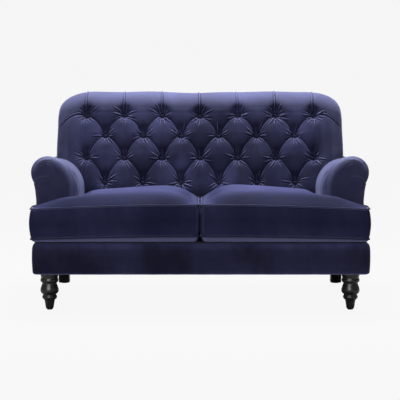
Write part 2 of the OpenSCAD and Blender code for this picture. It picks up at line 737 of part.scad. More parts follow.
module back_pad() {
    third = half_pitch / 3;
    middle_xs = [for (k = [-18:18]) k * third];
    xs = concat([for (i = [len(side_xs) - 1:-1:0]) -side_xs[i]], middle_xs, side_xs);
    rings = [for (x = xs) pad_ring(x)];
    m = len(rings[0]);
    n = len(rings);
    deep = [for (x = xs) [for (i = [0:m - 1]) i < len(face_zs) ? tuft(x, row_at(pad_z(x, face_zs[i]))) : 0]];
    walls = [
        for (i = [0:n - 2], j = [0:m - 1])
            let (k = (j + 1) % m, a = i * m + j, b = i * m + k, c = a + m, d = b + m)
            let (more = deep[i][j] + deep[i + 1][k] - deep[i][k] - deep[i + 1][j])
            for (t = more > 0.01 || (abs(more) <= 0.01 && i > n / 2 - 1)
                ? [[a, b, d], [a, d, c]] : [[a, b, c], [b, d, c]]) t
    ];
    centre = function (ring) [ring[0][0], sum([for (p = ring) p[1]]) / m, sum([for (p = ring) p[2]]) / m];
    ends = concat(
        [for (j = [0:m - 1]) [(j + 1) % m, j, n * m]],
        [for (j = [0:m - 1]) [(n - 1) * m + j, (n - 1) * m + (j + 1) % m, n * m + 1]]
    );
    color(velvet)
        polyhedron(
            concat(joined(rings), [centre(rings[0]), centre(rings[n - 1])]), concat(walls, ends), convexity = 12
        );
}

// A covered button with a tapered back that sits in its pit
module button() {
    rise = 6;
    back = button_r * 1.55;
    color(velvet_dark) rotate_extrude($fn = 24) polygon(concat(
        [[0, -back + 2], [1.5, -back + 2], [button_r - 1, -2.5], [button_r, 0]],
        [for (a = [30:30:60]) [button_r * cos(a), rise * sin(a)]], [[0, rise]]
    ));
}

module back_buttons() {
    stand = button_r * 1.55 + 2.7;
    for (r = [0:row_count - 1]) {
        shift = (r % 2) / 2;
        for (k = [-3:3 - (r % 2)]) {
            p = face_point((k + shift) * button_pitch, row_z(r), tuft_d - stand);
            translate(p) rotate([90 - rake, 0, 0]) button();
        }
    }
}

module outside_back() {
    lean = out_rake;
    k = 1 / cos(lean);
    up = function (z) (z - leg_h) * k;
    tuck_z = arm_h - arm_drop - roll_tuck;
    roll_side = [for (p = arm_curve(arm_level_y)) if (p[0] > back_w / 2 + 2 && p[1] > tuck_z + seat) p];
    lower = [for (i = [len(roll_side) - 1:-1:0]) roll_side[i]];
    top_xs = [for (i = [len(side_xs) - 2:-1:0]) side_xs[i]];
    edge_table = [for (x = concat([0, last_button - half_pitch / 3, last_button], side_xs)) [x, fallen(x, roll_end_z)]];
    right = concat(
        [[base_w / 2 - 2, leg_h], [base_w / 2 - waist_in, arm_h - waist_fall], [base_w / 2, tuck_z]],
        lower, [[back_w / 2 - 1, lookup(back_w / 2 - 1, arm_table)]],
        [for (x = concat([back_w / 2 - 1], top_xs, [last_button, last_button - half_pitch / 3, 0]))
            [x, lookup(x, edge_table) - seat - 1]]
    );
    outline = concat([for (p = right) [p[0], up(p[1])]],
        [for (i = [len(right) - 2:-1:0]) [-right[i][0], up(right[i][1])]]);
    color(velvet_dark) translate([0, out_y(leg_h), leg_h]) rotate([90 - lean, 0, 0])
        linear_extrude(panel_t * cos(lean)) polygon(outline);
}

// Seat cushions, right side. A grid of lines covers the body and the ear of the T.

notch_x = arm_in - bulge - 1;
notch_y = facing_y - bulge - 1;
cushion_x0 = cushion_gap / 2;
cushion_x1 = base_w / 2 + 2;
cushion_y0 = front_y + bulge;
cushion_y1 = pad_front_y - 17;
corner_r = 26;
fillet_r = 68;
crown_x = 153;
cushion_z0 = deck_top + seat;
piping_low = cushion_z0 + belly_h;
piping_high = piping_low + boxing_h;
ear_dip = 10;

body_xs = concat([cushion_x0, cushion_x0 + corner_r], [for (t = [0.2, 0.4, 0.6, 0.8]) lerp(cushion_x0, notch_x, t)],
    [notch_x - corner_r, notch_x]);
ear_xs = [notch_x + fillet_r, lerp(notch_x + fillet_r, cushion_x1, 0.55), cushion_x1 - corner_r, cushion_x1];
ear_ys = [cushion_y0, cushion_y0 + corner_r, lerp(cushion_y0, notch_y, 0.5), notch_y - corner_r, notch_y];
body_ys = [notch_y + fillet_r, lerp(notch_y, cushion_y1, 0.35), lerp(notch_y, cushion_y1, 0.6),
    lerp(notch_y, cushion_y1, 0.8), cushion_y1 - corner_r, cushion_y1];
xs = concat(body_xs, ear_xs);
ys = concat(ear_ys, body_ys);
nb = len(body_xs) - 1;
nx = len(xs) - 1;
ne = len(ear_ys) - 1;
ny = len(ys) - 1;
function at(i, j) = j <= ne ? j * (nx + 1) + i : (ne + 1) * (nx + 1) + (j - ne - 1) * (nb + 1) + i;
grid_count = at(nb, ny) + 1;
cells = concat(
    [for (j = [0:ne - 1], i = [0:nx - 1]) [i, j]], [for (j = [ne:ny - 1], i = [0:nb - 1]) [i, j]]
);
// Boundary of the grid, counter-clockwise from the inner front corner
edge_loop = concat(
    [for (i = [0:nx - 1]) [i, 0]], [for (j = [0:ne - 1]) [nx, j]], [for (i = [nx:-1:nb + 1]) [i, ne]],
    [for (j = [ne:ny - 1]) [nb, j]], [for (i = [nb:-1:1]) [i, ny]], [for (j = [ny:-1:1]) [0, j]]
);
// Corners are drawn in, and the inner corner of the T is filled out
function pull(i, j) =
    let (c = corner_r * 0.29)
    i == 0 && j == 0 ? [c, c] : i == nx && j == 0 ? [-c, c] : i == nx && j == ne ? [-c, -c]
    : i == nb && j == ne ? [1, 1] * fillet_r * 0.24 : i == nb && j == ny ? [-c, -c]
    : i == 0 && j == ny ? [c, -c] : [0, 0];
function plan(i, j) = [xs[i], ys[j]] + pull(i, j);
seam = [for (e = edge_loop) plan(e[0], e[1])];
ns = len(seam);
function seam_out(k) = let (d = unit(seam[(k + 1) % ns] - seam[(k + ns - 1) % ns])) [d[1], -d[0]];
function dip(x) = ear_dip * pow(clamp((x - notch_x) / (cushion_x1 - notch_x), 0, 1), 1.5);
// The upper seam sags along the gap between the cushions, but not at its front corner
gap_sag = 15;
function sag(p) = gap_sag * exp(-pow((p[0] - cushion_x0) / 45, 2)) * smooth((p[1] - cushion_y0 - 10) / 150);
// Ring of the boxing at a distance off its seam; the two cushions press each other flat in their gap
function seam_ring(off, z) = [
    for (k = [0:ns - 1])
        let (out = seam_out(k))
        let (p = seam[k] + out * (out[0] < -0.9 ? min(off, cushion_gap / 2 - seat) : off))
        [p[0], p[1], z - dip(p[0]) * clamp((z - cushion_z0) / belly_h, 0, 1)
            - sag(p) * clamp((z - piping_low) / boxing_h, 0, 1)]
];

// How far in from each edge the crown reaches its full height, and how far round the inner corner of the T
reach_gap = 128;
reach_arm = 175;
reach_front = 115;
reach_rear = 170;
reach_notch = 60;
// Share of the crown's rise at a distance d from an edge, over a reach and with a fullness power
function rise(d, reach, power) = pow(sin(90 * clamp(d / reach, 0, 1)), power);
// The crown falls off from the middle of the sofa towards the arm, except on the ear
function crown_slope(x, y) =
    1 - 0.38 * pow(clamp((x - crown_x) / (notch_x - crown_x), 0, 1.2), 1.2) * smooth((y - notch_y + 20) / 300);
function crown(x, y) =
    let (to_notch = norm([max(notch_x - x, 0), max(notch_y - y, 0)]))
    crown_h * rise(x - cushion_x0, reach_gap, 1) * rise(cushion_x1 - x, reach_arm, 0.9)
        * rise(y - cushion_y0, reach_front, 0.75) * rise(cushion_y1 - y, reach_rear, 0.9)
        * rise(to_notch, reach_notch, 0.4) * crown_slope(x, y);
function on_edge(i, j) = i == 0 || j == 0 || j == ny || (i == nx) || (j == ne && i >= nb) || (i == nb && j >= ne);
function edge_index(i, j) = [for (k = [0:ns - 1]) if (edge_loop[k] == [i, j]) k][0];
// One grid layer, with its boundary set in by the given distance
function layer(inset, z, domed) = [
    for (j = [0:ny], i = [0:j <= ne ? nx : nb])
        let (edge = on_edge(i, j), k = edge ? edge_index(i, j) : 0)
        let (p = edge ? seam[k] - seam_out(k) * inset : plan(i, j))
        [p[0], p[1], z - (domed ? dip(p[0]) + sag(p) : 0) + (domed && !edge ? crown(p[0], p[1]) : 0)]
];

module right_seat_cushion() {
    groove = 6;
    half = 7.5;
    bands = [
        seam_ring(-10, cushion_z0 + 6), seam_ring(-groove, piping_low),
        seam_ring(0, piping_low + half), seam_ring(bulge, lerp(piping_low, piping_high, 0.5)),
        seam_ring(0, piping_high - half)
    ];
    nbands = len(bands);
    pts = concat(layer(22, cushion_z0, false), joined(bands), layer(groove, piping_high, true));
    top = grid_count + nbands * ns;
    // Index of point k of level l: the grid edge below, the bands, the grid edge above
    level = function (l, k) let (e = edge_loop[k % ns])
        l == 0 ? at(e[0], e[1]) : l > nbands ? top + at(e[0], e[1]) : grid_count + (l - 1) * ns + k % ns;
    flat = [for (c = cells) let (a = at(c[0], c[1]), b = at(c[0] + 1, c[1]))
        let (d = at(c[0], c[1] + 1), e = at(c[0] + 1, c[1] + 1)) for (t = [[a, b, e], [a, e, d]]) t];
    sides = [for (l = [0:nbands], k = [0:ns - 1])
        let (a = level(l, k), b = level(l, k + 1), c = level(l + 1, k + 1), d = level(l + 1, k))
        for (t = [[a, c, b], [a, d, c]]) t];
    color(velvet) polyhedron(pts, concat(flat, flipped([for (f = flat) f + [1, 1, 1] * top]), sides), convexity = 8);
}
module left_seat_cushion() { left_side() right_seat_cushion(); }

module right_cushion_piping() {
    color(velvet) {
        loop_tube(seam_ring(-1, piping_high + 0.5), piping_r);
        loop_tube(seam_ring(-1, piping_low - 0.5), piping_r);
    }
}
module left_cushion_piping() { left_side() right_cushion_piping(); }

// Zip in the rear boxing
zip_z = lerp(piping_low, piping_high, 0.5);
zip_y = cushion_y1 + bulge + 0.2;
zip_x0 = cushion_x0 + 50;
zip_x1 = notch_x - 50;
zip_t = 1.5;
slider_l = 12;

module right_cushion_zip() {
    color(black_cloth) box(zip_x0, zip_x1, zip_y, zip_y + zip_t, zip_z - 8, zip_z + 8);
}
module left_cushion_zip() { left_side() right_cushion_zip(); }

module right_zip_slider() {
    y = zip_y + zip_t + 0.2;
    color(steel) union() {
        box(zip_x0, zip_x0 + slider_l, y, y + 2.5, zip_z - 5, zip_z + 5);
        box(zip_x0 + 4, zip_x0 + 8, y + 2.5, y + 4, zip_z - 20, zip_z + 3);
    }
}
module left_zip_slider() { left_side() right_zip_slider(); }

front_rail();
rear_rail();
left_side_rail();
right_side_rail();
centre_rail();
corner_blocks();
left_arm_posts();
right_arm_posts();
left_arm_top_rail();
right_arm_top_rail();
left_arm_tack_rail();
right_arm_tack_rail();
left_back_post();
right_back_post();
back_centre_post();
back_top_rail();
back_tack_rails();
back_wings();
back_webbing();
seat_springs();
spring_clips();
seat_deck();
front_border();
left_arm_pad();
right_arm_pad();
left_arm_front();
right_arm_front();
left_outside_arm();
right_outside_arm();
outside_back();
back_pad();
back_buttons();
left_seat_cushion();
right_seat_cushion();
left_cushion_piping();
right_cushion_piping();
left_cushion_zip();
right_cushion_zip();
left_zip_slider();
right_zip_slider();
front_left_leg();
front_right_leg();
rear_left_leg();
rear_right_leg();
leg_bolts();
foot_glides();
dust_cover();
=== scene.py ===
# %% [markdown]
# A two-seat sofa in dark velvet: a deeply buttoned back, padded arms that roll
# outwards, two T-shaped seat cushions with piping, a padded border and four legs.
# The hard parts (timbers, springs, webbing, legs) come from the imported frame.
# Everything soft is made here, because cloth needs far more points than a solid has.

# %% Load the frame
import math
import random
import bpy
import numpy as np
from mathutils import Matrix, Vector, kdtree


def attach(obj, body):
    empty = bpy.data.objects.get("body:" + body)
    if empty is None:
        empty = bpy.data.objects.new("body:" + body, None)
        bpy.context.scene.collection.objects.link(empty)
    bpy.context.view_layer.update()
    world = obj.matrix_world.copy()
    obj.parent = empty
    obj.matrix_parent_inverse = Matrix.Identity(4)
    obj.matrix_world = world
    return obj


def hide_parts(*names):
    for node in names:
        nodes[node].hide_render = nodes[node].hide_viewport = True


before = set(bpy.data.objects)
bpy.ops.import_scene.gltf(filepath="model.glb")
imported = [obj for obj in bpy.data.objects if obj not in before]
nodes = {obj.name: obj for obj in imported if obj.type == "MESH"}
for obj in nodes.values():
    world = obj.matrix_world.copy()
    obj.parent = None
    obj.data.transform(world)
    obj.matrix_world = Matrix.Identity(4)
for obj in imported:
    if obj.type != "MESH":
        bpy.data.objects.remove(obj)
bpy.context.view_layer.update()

# %% [markdown]
# Every operator works on what is selected, so each step first clears the
# selection and picks its own piece. Points are moved in one go as an array,
# which is the quick way to shape a dense cloth surface by a formula.

# %% Small tools of the bench
MM = 0.001
SEWN_GAP = 0.02 * MM


def pick(*pieces):
    if bpy.context.object and bpy.context.object.mode != "OBJECT":
        bpy.ops.object.mode_set(mode="OBJECT")
    bpy.ops.object.select_all(action="DESELECT")
    for piece in pieces:
        piece.select_set(True)
    if pieces:
        bpy.context.view_layer.objects.active = pieces[0]


def points_of(piece):
    flat = np.empty(len(piece.data.vertices) * 3)
    piece.data.vertices.foreach_get("co", flat)
    return flat.reshape(-1, 3)


def mm_points(piece):
    return points_of(piece) * 1000


def move_points(piece, points):
    piece.data.vertices.foreach_set("co", points.ravel())
    piece.data.update()


def normals_of(piece):
    flat = np.empty(len(piece.data.vertices) * 3)
    piece.data.vertices.foreach_get("normal", flat)
    return flat.reshape(-1, 3)


def edit_all(piece, *steps):
    """Runs edit-mode steps on the whole of one piece."""
    pick(piece)
    bpy.ops.object.mode_set(mode="EDIT")
    for step in steps:
        bpy.ops.mesh.select_all(action="SELECT")
        step()
    bpy.ops.object.mode_set(mode="OBJECT")


def merge_points():
    bpy.ops.mesh.remove_doubles(threshold=SEWN_GAP)


def close_holes():
    bpy.ops.mesh.select_all(action="DESELECT")
    bpy.ops.mesh.select_non_manifold(extend=False, use_wire=False, use_boundary=True,
                                     use_multi_face=False, use_non_contiguous=False, use_verts=False)
    bpy.ops.mesh.fill_holes(sides=0)


def turn_outwards():
    bpy.ops.mesh.normals_make_consistent(inside=False)


def named(name):
    """Gives the piece in hand its name."""
    piece = bpy.context.object
    piece.name = piece.data.name = name
    return piece


def joined(name, pieces):
    pick(*pieces)
    bpy.ops.object.join()
    return named(name)


def laid_sheet(name, rows, closed=False):
    """A grid of cloth laid on rows of points in millimetres, then sewn shut into one skin.

    closed brings each row back to its first point.
    """
    rows = np.array(rows)
    if closed:
        rows = np.concatenate([rows, rows[:, :1]], 1)
    count_y, count_x = rows.shape[:2]
    pick()
    bpy.ops.mesh.primitive_grid_add(x_subdivisions=count_x - 1, y_subdivisions=count_y - 1, size=1)
    piece = named(name)
    flat = points_of(piece)
    column = np.rint((flat[:, 0] + 0.5) * (count_x - 1)).astype(int)
    row = np.rint((flat[:, 1] + 0.5) * (count_y - 1)).astype(int)
    move_points(piece, rows[row, column] * MM)
    edit_all(piece, merge_points, close_holes, turn_outwards)
    return piece


def smooth_shade(piece, angle=40):
    pick(piece)
    bpy.ops.object.shade_smooth_by_angle(angle=math.radians(angle))


def apply_modifiers(piece):
    pick(piece)
    for name in [m.name for m in piece.modifiers]:
        bpy.ops.object.modifier_apply(modifier=name)


def mirrored(piece, name):
    """The same piece for the other side of the sofa, with its own mesh."""
    pick(piece)
    bpy.ops.object.duplicate()
    twin = named(name)
    move_points(twin, points_of(twin) * [-1, 1, 1])
    edit_all(twin, turn_outwards)
    return twin


def both_sides(right, left_name, angle):
    """Shades a piece, makes its twin, and gives each with the name of its side."""
    smooth_shade(right, angle)
    left = mirrored(right, left_name)
    smooth_shade(left, angle)
    return ("right", right), ("left", left)


def paint_fold_light(piece, full, painted_light):
    """Stores painted light and shade from how the surface bends: painted highlight on proud folds above nought,
    painted shade in creases below it, and the painted zones.

    full is the curvature that counts as a full fold, and the last argument is the painted light, or painted
    shade below nought, added on top.
    """
    mesh = piece.data
    ends = np.empty(len(mesh.edges) * 2, int)
    mesh.edges.foreach_get("vertices", ends)
    a, b = ends[::2], ends[1::2]
    p, n = mm_points(piece), normals_of(piece)
    joined = np.maximum(np.bincount(np.concatenate([a, b]), minlength=len(p)), 1)

    def around(value):
        total = np.bincount(a, value[b], len(p)) + np.bincount(b, value[a], len(p))
        return total / joined

    middle = np.stack([around(p[:, k]) for k in range(3)], 1)
    far = np.linalg.norm(p[a] - p[b], axis=1)
    span = (np.bincount(a, far, len(p)) + np.bincount(b, far, len(p))) / joined
    bent = ((p - middle) * n).sum(1) / np.maximum(span, 0.2) ** 2
    bent = 0.5 * bent + 0.5 * around(bent)
    layer = mesh.attributes.new("fold", "FLOAT", "POINT")
    layer.data.foreach_set("value", np.clip(np.clip(bent / full, -1, 1) + painted_light, -1, 1))


def cover_in(piece, finish):
    piece.data.materials.clear()
    piece.data.materials.append(finish)


def dress(piece, finish, body="sofa", stands_for=()):
    """Gives a piece its finish, tells the frame its body and hides the nodes it replaces."""
    cover_in(piece, finish)
    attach(piece, body)
    if stands_for:
        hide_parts(*stands_for)
    p = mm_points(piece)
    print(piece.name, "size in mm", np.rint(p.max(0) - p.min(0)).astype(int), "faces", len(piece.data.polygons))


def clamp(value, low, high):
    return np.minimum(np.maximum(value, low), high)


def smooth(value):
    value = clamp(value, 0, 1)
    return value * value * (3 - 2 * value)


def lerp(a, b, t):
    return a + (b - a) * t


def hump(d, at, wide):
    """A soft rise of height one at a place, which fades over a width."""
    return np.exp(-((d - at) / wide) ** 2)

# %% [markdown]
# The camera stands where the photograph was taken from: a long lens, seven metres
# in front, a little above the seat and tipped down by six degrees. It is set
# first, so that each piece can be judged against the photograph as it is made.

# %% Camera
CAMERA_AT = (0, -7.0, 1.2055)
CAMERA_TIP = 83.845
CAMERA_LENS = 135.7

pick()
bpy.ops.object.camera_add(location=CAMERA_AT, rotation=(math.radians(CAMERA_TIP), 0, 0))
camera = bpy.context.object
camera.data.lens = CAMERA_LENS
camera.data.sensor_width = 36
bpy.context.scene.camera = camera
print("camera lens", camera.data.lens)

# %% [markdown]
# Velvet is a short upright pile. Seen straight on it is nearly black-blue, because
# the light sinks between the hairs; seen at a glancing angle the tips catch the
# light and it turns pale. The shader's sheen does that part. What a group can give
# is the rest: soft patches where a hand has brushed the pile, and the fine grain.
# It also paints light and shade: painted top light on faces turned up, painted
# bounce light on faces turned down, painted highlights on proud folds, and painted
# shade on upright faces and in creases.

# %% Shader tools
def set_values(node, values):
    for key, value in values.items():
        node.inputs[key].default_value = value


COLOUR, VECTOR, NUMBER = "NodeSocketColor", "NodeSocketVector", "NodeSocketFloat"


def new_group(name, inputs, outputs):
    group = bpy.data.node_groups.new(name, "ShaderNodeTree")
    for label, kind, value in inputs:
        socket = group.interface.new_socket(label, in_out="INPUT", socket_type=kind)
        socket.default_value = value
    for label, kind in outputs:
        group.interface.new_socket(label, in_out="OUTPUT", socket_type=kind)
    return group, group.nodes.new("NodeGroupInput"), group.nodes.new("NodeGroupOutput")


def noise(tree, place, scale, detail=2.0, rough=0.5):
    """Cloudy noise at a place, from nought to one."""
    node = tree.nodes.new("ShaderNodeTexNoise")
    set_values(node, {"Scale": scale, "Detail": detail, "Roughness": rough})
    tree.links.new(place, node.inputs["Vector"])
    return node.outputs["Fac"]


def ranged(tree, value, low, high, to_low=0.0, to_high=1.0):
    """Brings a value from one range to another, held at its ends."""
    node = tree.nodes.new("ShaderNodeMapRange")
    set_values(node, {"From Min": low, "From Max": high, "To Min": to_low, "To Max": to_high})
    tree.links.new(value, node.inputs["Value"])
    return node.outputs["Result"]


def blend(tree, mask, first, second):
    node = tree.nodes.new("ShaderNodeMix")
    node.data_type = "RGBA"
    tree.links.new(mask, node.inputs["Factor"])
    for socket, source in ((node.inputs["A"], first), (node.inputs["B"], second)):
        if isinstance(source, tuple):
            socket.default_value = (*source, 1)
        else:
            tree.links.new(source, socket)
    return node.outputs["Result"]


def maths(tree, kind, first, second):
    node = tree.nodes.new("ShaderNodeMath")
    node.operation = kind
    for socket, source in zip(node.inputs, (first, second)):
        if isinstance(source, (int, float)):
            socket.default_value = source
        else:
            tree.links.new(source, socket)
    return node.outputs["Value"]


def stretched(tree, scale=(1, 1, 1)):
    """Object coordinates, drawn out along an axis by a Mapping node."""
    where = tree.nodes.new("ShaderNodeTexCoord")
    mapping = tree.nodes.new("ShaderNodeMapping")
    mapping.inputs["Scale"].default_value = scale
    tree.links.new(where.outputs["Object"], mapping.inputs["Vector"])
    return mapping.outputs["Vector"]


def placed(tree, group, values):
    """One use of a node group, with its own values."""
    node = tree.nodes.new("ShaderNodeGroup")
    node.node_tree = group
    set_values(node, values)
    return node


# %% Velvet pile with painted light and shade, built once for every cover
DEEP = (0.0105, 0.0115, 0.0355)
# paler tone of brushing patches, also used as the painted top light
BRUSHED_AND_TOP_LIT = (0.0720, 0.0750, 0.1850)
# painted highlight, also the painted bounce light on undersides
PAINTED_HIGHLIGHT = (0.1500, 0.1560, 0.2900)
# painted shade for upright faces
PAINTED_UPRIGHT_SHADE = (0.0040, 0.0040, 0.0130)
# painted shade for creases and shaded zones
PAINTED_SHADE = (0.0036, 0.0042, 0.0150)


def build_pile():
    """Tone varies with brushing strokes and grain; painted top light pales faces turned up, painted shade
    darkens upright faces and creases, and painted bounce light and highlights pale undersides and proud folds.
    """
    group, given, made = new_group(
        "velvet_pile",
        [("Deep", COLOUR, (0, 0, 0, 1)), ("Brushed And Top Lit", COLOUR, (1, 1, 1, 1)), ("Painted Highlight", COLOUR, (1, 1, 1, 1)),
         ("Brushing", NUMBER, 0.5), ("Painted Top Light", NUMBER, 0.75), ("Up From", NUMBER, 0.38),
         ("Up To", NUMBER, 0.85), ("Painted Upright Shade", NUMBER, 0.4)],
        [("Color", COLOUR), ("Roughness", NUMBER), ("Height", NUMBER)])
    place = stretched(group)
    strokes = noise(group, stretched(group, (1.0, 1.0, 0.45)), 7.0, 4.0, 0.62)
    clouds = noise(group, place, 2.2, 3.0, 0.55)
    hairs = noise(group, place, 850.0, 2.0, 0.7)
    mask = ranged(group, maths(group, "MULTIPLY", strokes, clouds), 0.17, 0.36)
    mask = maths(group, "MULTIPLY", mask, given.outputs["Brushing"])
    mask = maths(group, "ADD", mask, ranged(group, hairs, 0.35, 0.75, -0.05, 0.10))
    turned = group.nodes.new("ShaderNodeSeparateXYZ")
    facing = group.nodes.new("ShaderNodeTexCoord")
    group.links.new(facing.outputs["Normal"], turned.inputs["Vector"])
    # Painted top light: faces turned up are paled, as if lit from above.
    top_light_mask = group.nodes.new("ShaderNodeMapRange")
    for key, source in (("Value", turned.outputs["Z"]), ("From Min", given.outputs["Up From"]),
                        ("From Max", given.outputs["Up To"])):
        group.links.new(source, top_light_mask.inputs[key])
    mask = maths(group, "ADD", mask, maths(group, "MULTIPLY", top_light_mask.outputs["Result"], given.outputs["Painted Top Light"]))
    colour = blend(group, mask, given.outputs["Deep"], given.outputs["Brushed And Top Lit"])
    # Painted shade: upright faces are darkened.
    painted_upright_shade = ranged(group, maths(group, "ABSOLUTE", turned.outputs["Z"], 0.0), 0.26, 0.0)
    painted_upright_shade = maths(group, "MULTIPLY", painted_upright_shade, given.outputs["Painted Upright Shade"])
    colour = blend(group, painted_upright_shade, colour, PAINTED_UPRIGHT_SHADE)
    # Painted bounce light: faces turned down are paled.
    underside_light = ranged(group, turned.outputs["Z"], -0.35, -0.8)
    colour = blend(group, underside_light, colour, given.outputs["Painted Highlight"])
    fold = group.nodes.new("ShaderNodeAttribute")
    fold.attribute_name = "fold"
    # Painted highlight on proud folds and in the painted light zones.
    fold_highlight = ranged(group, fold.outputs["Fac"], 0.12, 1.0, 0.0, 0.85)
    colour = blend(group, fold_highlight, colour, given.outputs["Painted Highlight"])
    # Painted shade in creases and in the painted shade zones.
    fold_shade = ranged(group, fold.outputs["Fac"], -0.15, -1.0, 0.0, 0.8)
    colour = blend(group, fold_shade, colour, PAINTED_SHADE)
    group.links.new(colour, made.inputs["Color"])
    group.links.new(ranged(group, strokes, 0.3, 0.7, 0.72, 0.9), made.inputs["Roughness"])
    group.links.new(maths(group, "ADD", hairs, maths(group, "MULTIPLY", strokes, 2.0)), made.inputs["Height"])
    return group


pile = build_pile()


def principled(name):
    finish = bpy.data.materials.new(name)
    finish.use_nodes = True
    tree = finish.node_tree
    shader = tree.nodes["Principled BSDF"]
    return finish, tree, shader


def raise_by(tree, shader, height, distance, strength=1.0):
    bump = tree.nodes.new("ShaderNodeBump")
    set_values(bump, {"Distance": distance, "Strength": strength})
    tree.links.new(height, bump.inputs["Height"])
    tree.links.new(bump.outputs["Normal"], shader.inputs["Normal"])


def velvet(name, deep, brushed_and_top_lit, brushing, painted_top_light=0.22, sheen=0.36, up_range=(0.38, 0.85), painted_upright_shade=0.55,
           sheen_rough=0.36, tint=(0.50, 0.53, 0.95), gleam=0.12):
    finish, tree, shader = principled(name)
    group = placed(tree, pile, {
        "Deep": (*deep, 1), "Brushed And Top Lit": (*brushed_and_top_lit, 1), "Painted Highlight": (*PAINTED_HIGHLIGHT, 1), "Brushing": brushing,
        "Painted Top Light": painted_top_light, "Up From": up_range[0], "Up To": up_range[1], "Painted Upright Shade": painted_upright_shade})
    tree.links.new(group.outputs["Color"], shader.inputs["Base Color"])
    tree.links.new(group.outputs["Roughness"], shader.inputs["Roughness"])
    raise_by(tree, shader, group.outputs["Height"], 0.0006, 0.5)
    set_values(shader, {"Specular IOR Level": gleam, "Sheen Weight": sheen,
                        "Sheen Roughness": sheen_rough, "Sheen Tint": (*tint, 1)})
    finish.diffuse_color = (*brushed_and_top_lit, 1)
    return finish


# The five finishes are copies of one velvet, lit and shaded in paint: the arm's and the cushions' are paler than
# the back's and the button's darker, each with its own share of painted top light and painted upright shade.
velvet_cover = velvet("velvet_cover", DEEP, BRUSHED_AND_TOP_LIT, 0.45)
velvet_arm = velvet("velvet_arm", (0.0225, 0.0238, 0.0690), (0.0840, 0.0885, 0.1600), 0.35, 0.4, 0.2,
                    painted_upright_shade=0.0, sheen_rough=0.6)
velvet_cushion = velvet("velvet_cushion", (0.0155, 0.0165, 0.0490), BRUSHED_AND_TOP_LIT, 0.24, 0.28, 0.13,
                        (0.90, 1.0), 0.35, tint=(0.38, 0.42, 0.95), gleam=0.04)
velvet_piping = velvet("velvet_piping", (0.016, 0.017, 0.045), (0.035, 0.036, 0.085), 0.5)
velvet_button = velvet("velvet_button", (0.010, 0.010, 0.030), (0.035, 0.036, 0.085), 0.4, 1.0, 0.4)
print("velvets", [m.name for m in bpy.data.materials if m.name.startswith("velvet")])

# %% [markdown]
# The legs are beech, stained black and lacquered satin: almost black, with a soft
# highlight on each bead and a trace of brown in the grain. Inside the sofa are pale
# softwood timbers, blued spring wire, jute webbing and a black dust cloth, each with
# its own grain or weave.

# %% Grain, weave and wear, built once
def build_grain():
    group, given, made = new_group(
        "wood_grain",
        [("Along", VECTOR, (1, 1, 1)), ("Pale", COLOUR, (1, 1, 1, 1)), ("Dark", COLOUR, (0, 0, 0, 1))],
        [("Color", COLOUR), ("Height", NUMBER)])
    where = group.nodes.new("ShaderNodeTexCoord")
    mapping = group.nodes.new("ShaderNodeMapping")
    group.links.new(where.outputs["Object"], mapping.inputs["Vector"])
    group.links.new(given.outputs["Along"], mapping.inputs["Scale"])
    lines = noise(group, mapping.outputs["Vector"], 18.0, 6.0, 0.65)
    fine = noise(group, mapping.outputs["Vector"], 140.0, 2.0, 0.5)
    mask = ranged(group, maths(group, "ADD", lines, maths(group, "MULTIPLY", fine, 0.35)), 0.5, 0.95)
    group.links.new(blend(group, mask, given.outputs["Pale"], given.outputs["Dark"]), made.inputs["Color"])
    group.links.new(mask, made.inputs["Height"])
    return group


grain = build_grain()


def wood(name, along, pale, dark, rough, bump, coat=0.0):
    finish, tree, shader = principled(name)
    group = placed(tree, grain, {"Along": along, "Pale": (*pale, 1), "Dark": (*dark, 1)})
    tree.links.new(group.outputs["Color"], shader.inputs["Base Color"])
    rough_map = ranged(tree, group.outputs["Height"], 0, 1, rough, rough + 0.12)
    tree.links.new(rough_map, shader.inputs["Roughness"])
    raise_by(tree, shader, group.outputs["Height"], bump)
    set_values(shader, {"Coat Weight": coat, "Coat Roughness": 0.25})
    return finish


def woven(name, warp, weft, pitch, rough=0.85, bump=0.0004):
    """Two crossed bands of thread: each shows where it passes over the other."""
    finish, tree, shader = principled(name)
    place = stretched(tree)
    waves = []
    for axis in ("X", "Y"):
        wave = tree.nodes.new("ShaderNodeTexWave")
        wave.bands_direction = axis
        set_values(wave, {"Scale": 1.0 / (pitch * 20), "Distortion": 0.6, "Detail Scale": 3.0})
        tree.links.new(place, wave.inputs["Vector"])
        waves.append(wave.outputs["Fac"])
    over = maths(tree, "MULTIPLY", waves[0], waves[1])
    worn = noise(tree, place, 9.0, 3.0)
    mask = maths(tree, "MULTIPLY", over, ranged(tree, worn, 0.3, 0.7, 0.6, 1.2))
    tree.links.new(blend(tree, mask, weft, warp), shader.inputs["Base Color"])
    tree.links.new(ranged(tree, worn, 0.2, 0.8, rough - 0.08, rough + 0.08), shader.inputs["Roughness"])
    raise_by(tree, shader, over, bump)
    return finish


def rubbed(name, colour, worn, worn_range, rough, streak, scuff_scale, bump, metallic=0.0, grit=None):
    """A hard surface that is dulled or paled in scuffed patches, with an even grit or the scuffs as relief."""
    finish, tree, shader = principled(name)
    place = stretched(tree)
    scuff = noise(tree, place, scuff_scale, 4.0, 0.6)
    tree.links.new(blend(tree, ranged(tree, scuff, *worn_range), colour, worn), shader.inputs["Base Color"])
    tree.links.new(ranged(tree, scuff, 0.3, 0.7, rough, rough + streak), shader.inputs["Roughness"])
    shader.inputs["Metallic"].default_value = metallic
    raise_by(tree, shader, noise(tree, place, grit) if grit else scuff, bump)
    return finish


def metal(name, colour, rough, streak):
    dull = tuple(c * 0.6 for c in colour)
    return rubbed(name, colour, dull, (0.4, 0.75), rough, streak, 60.0, 0.0001, metallic=1.0)


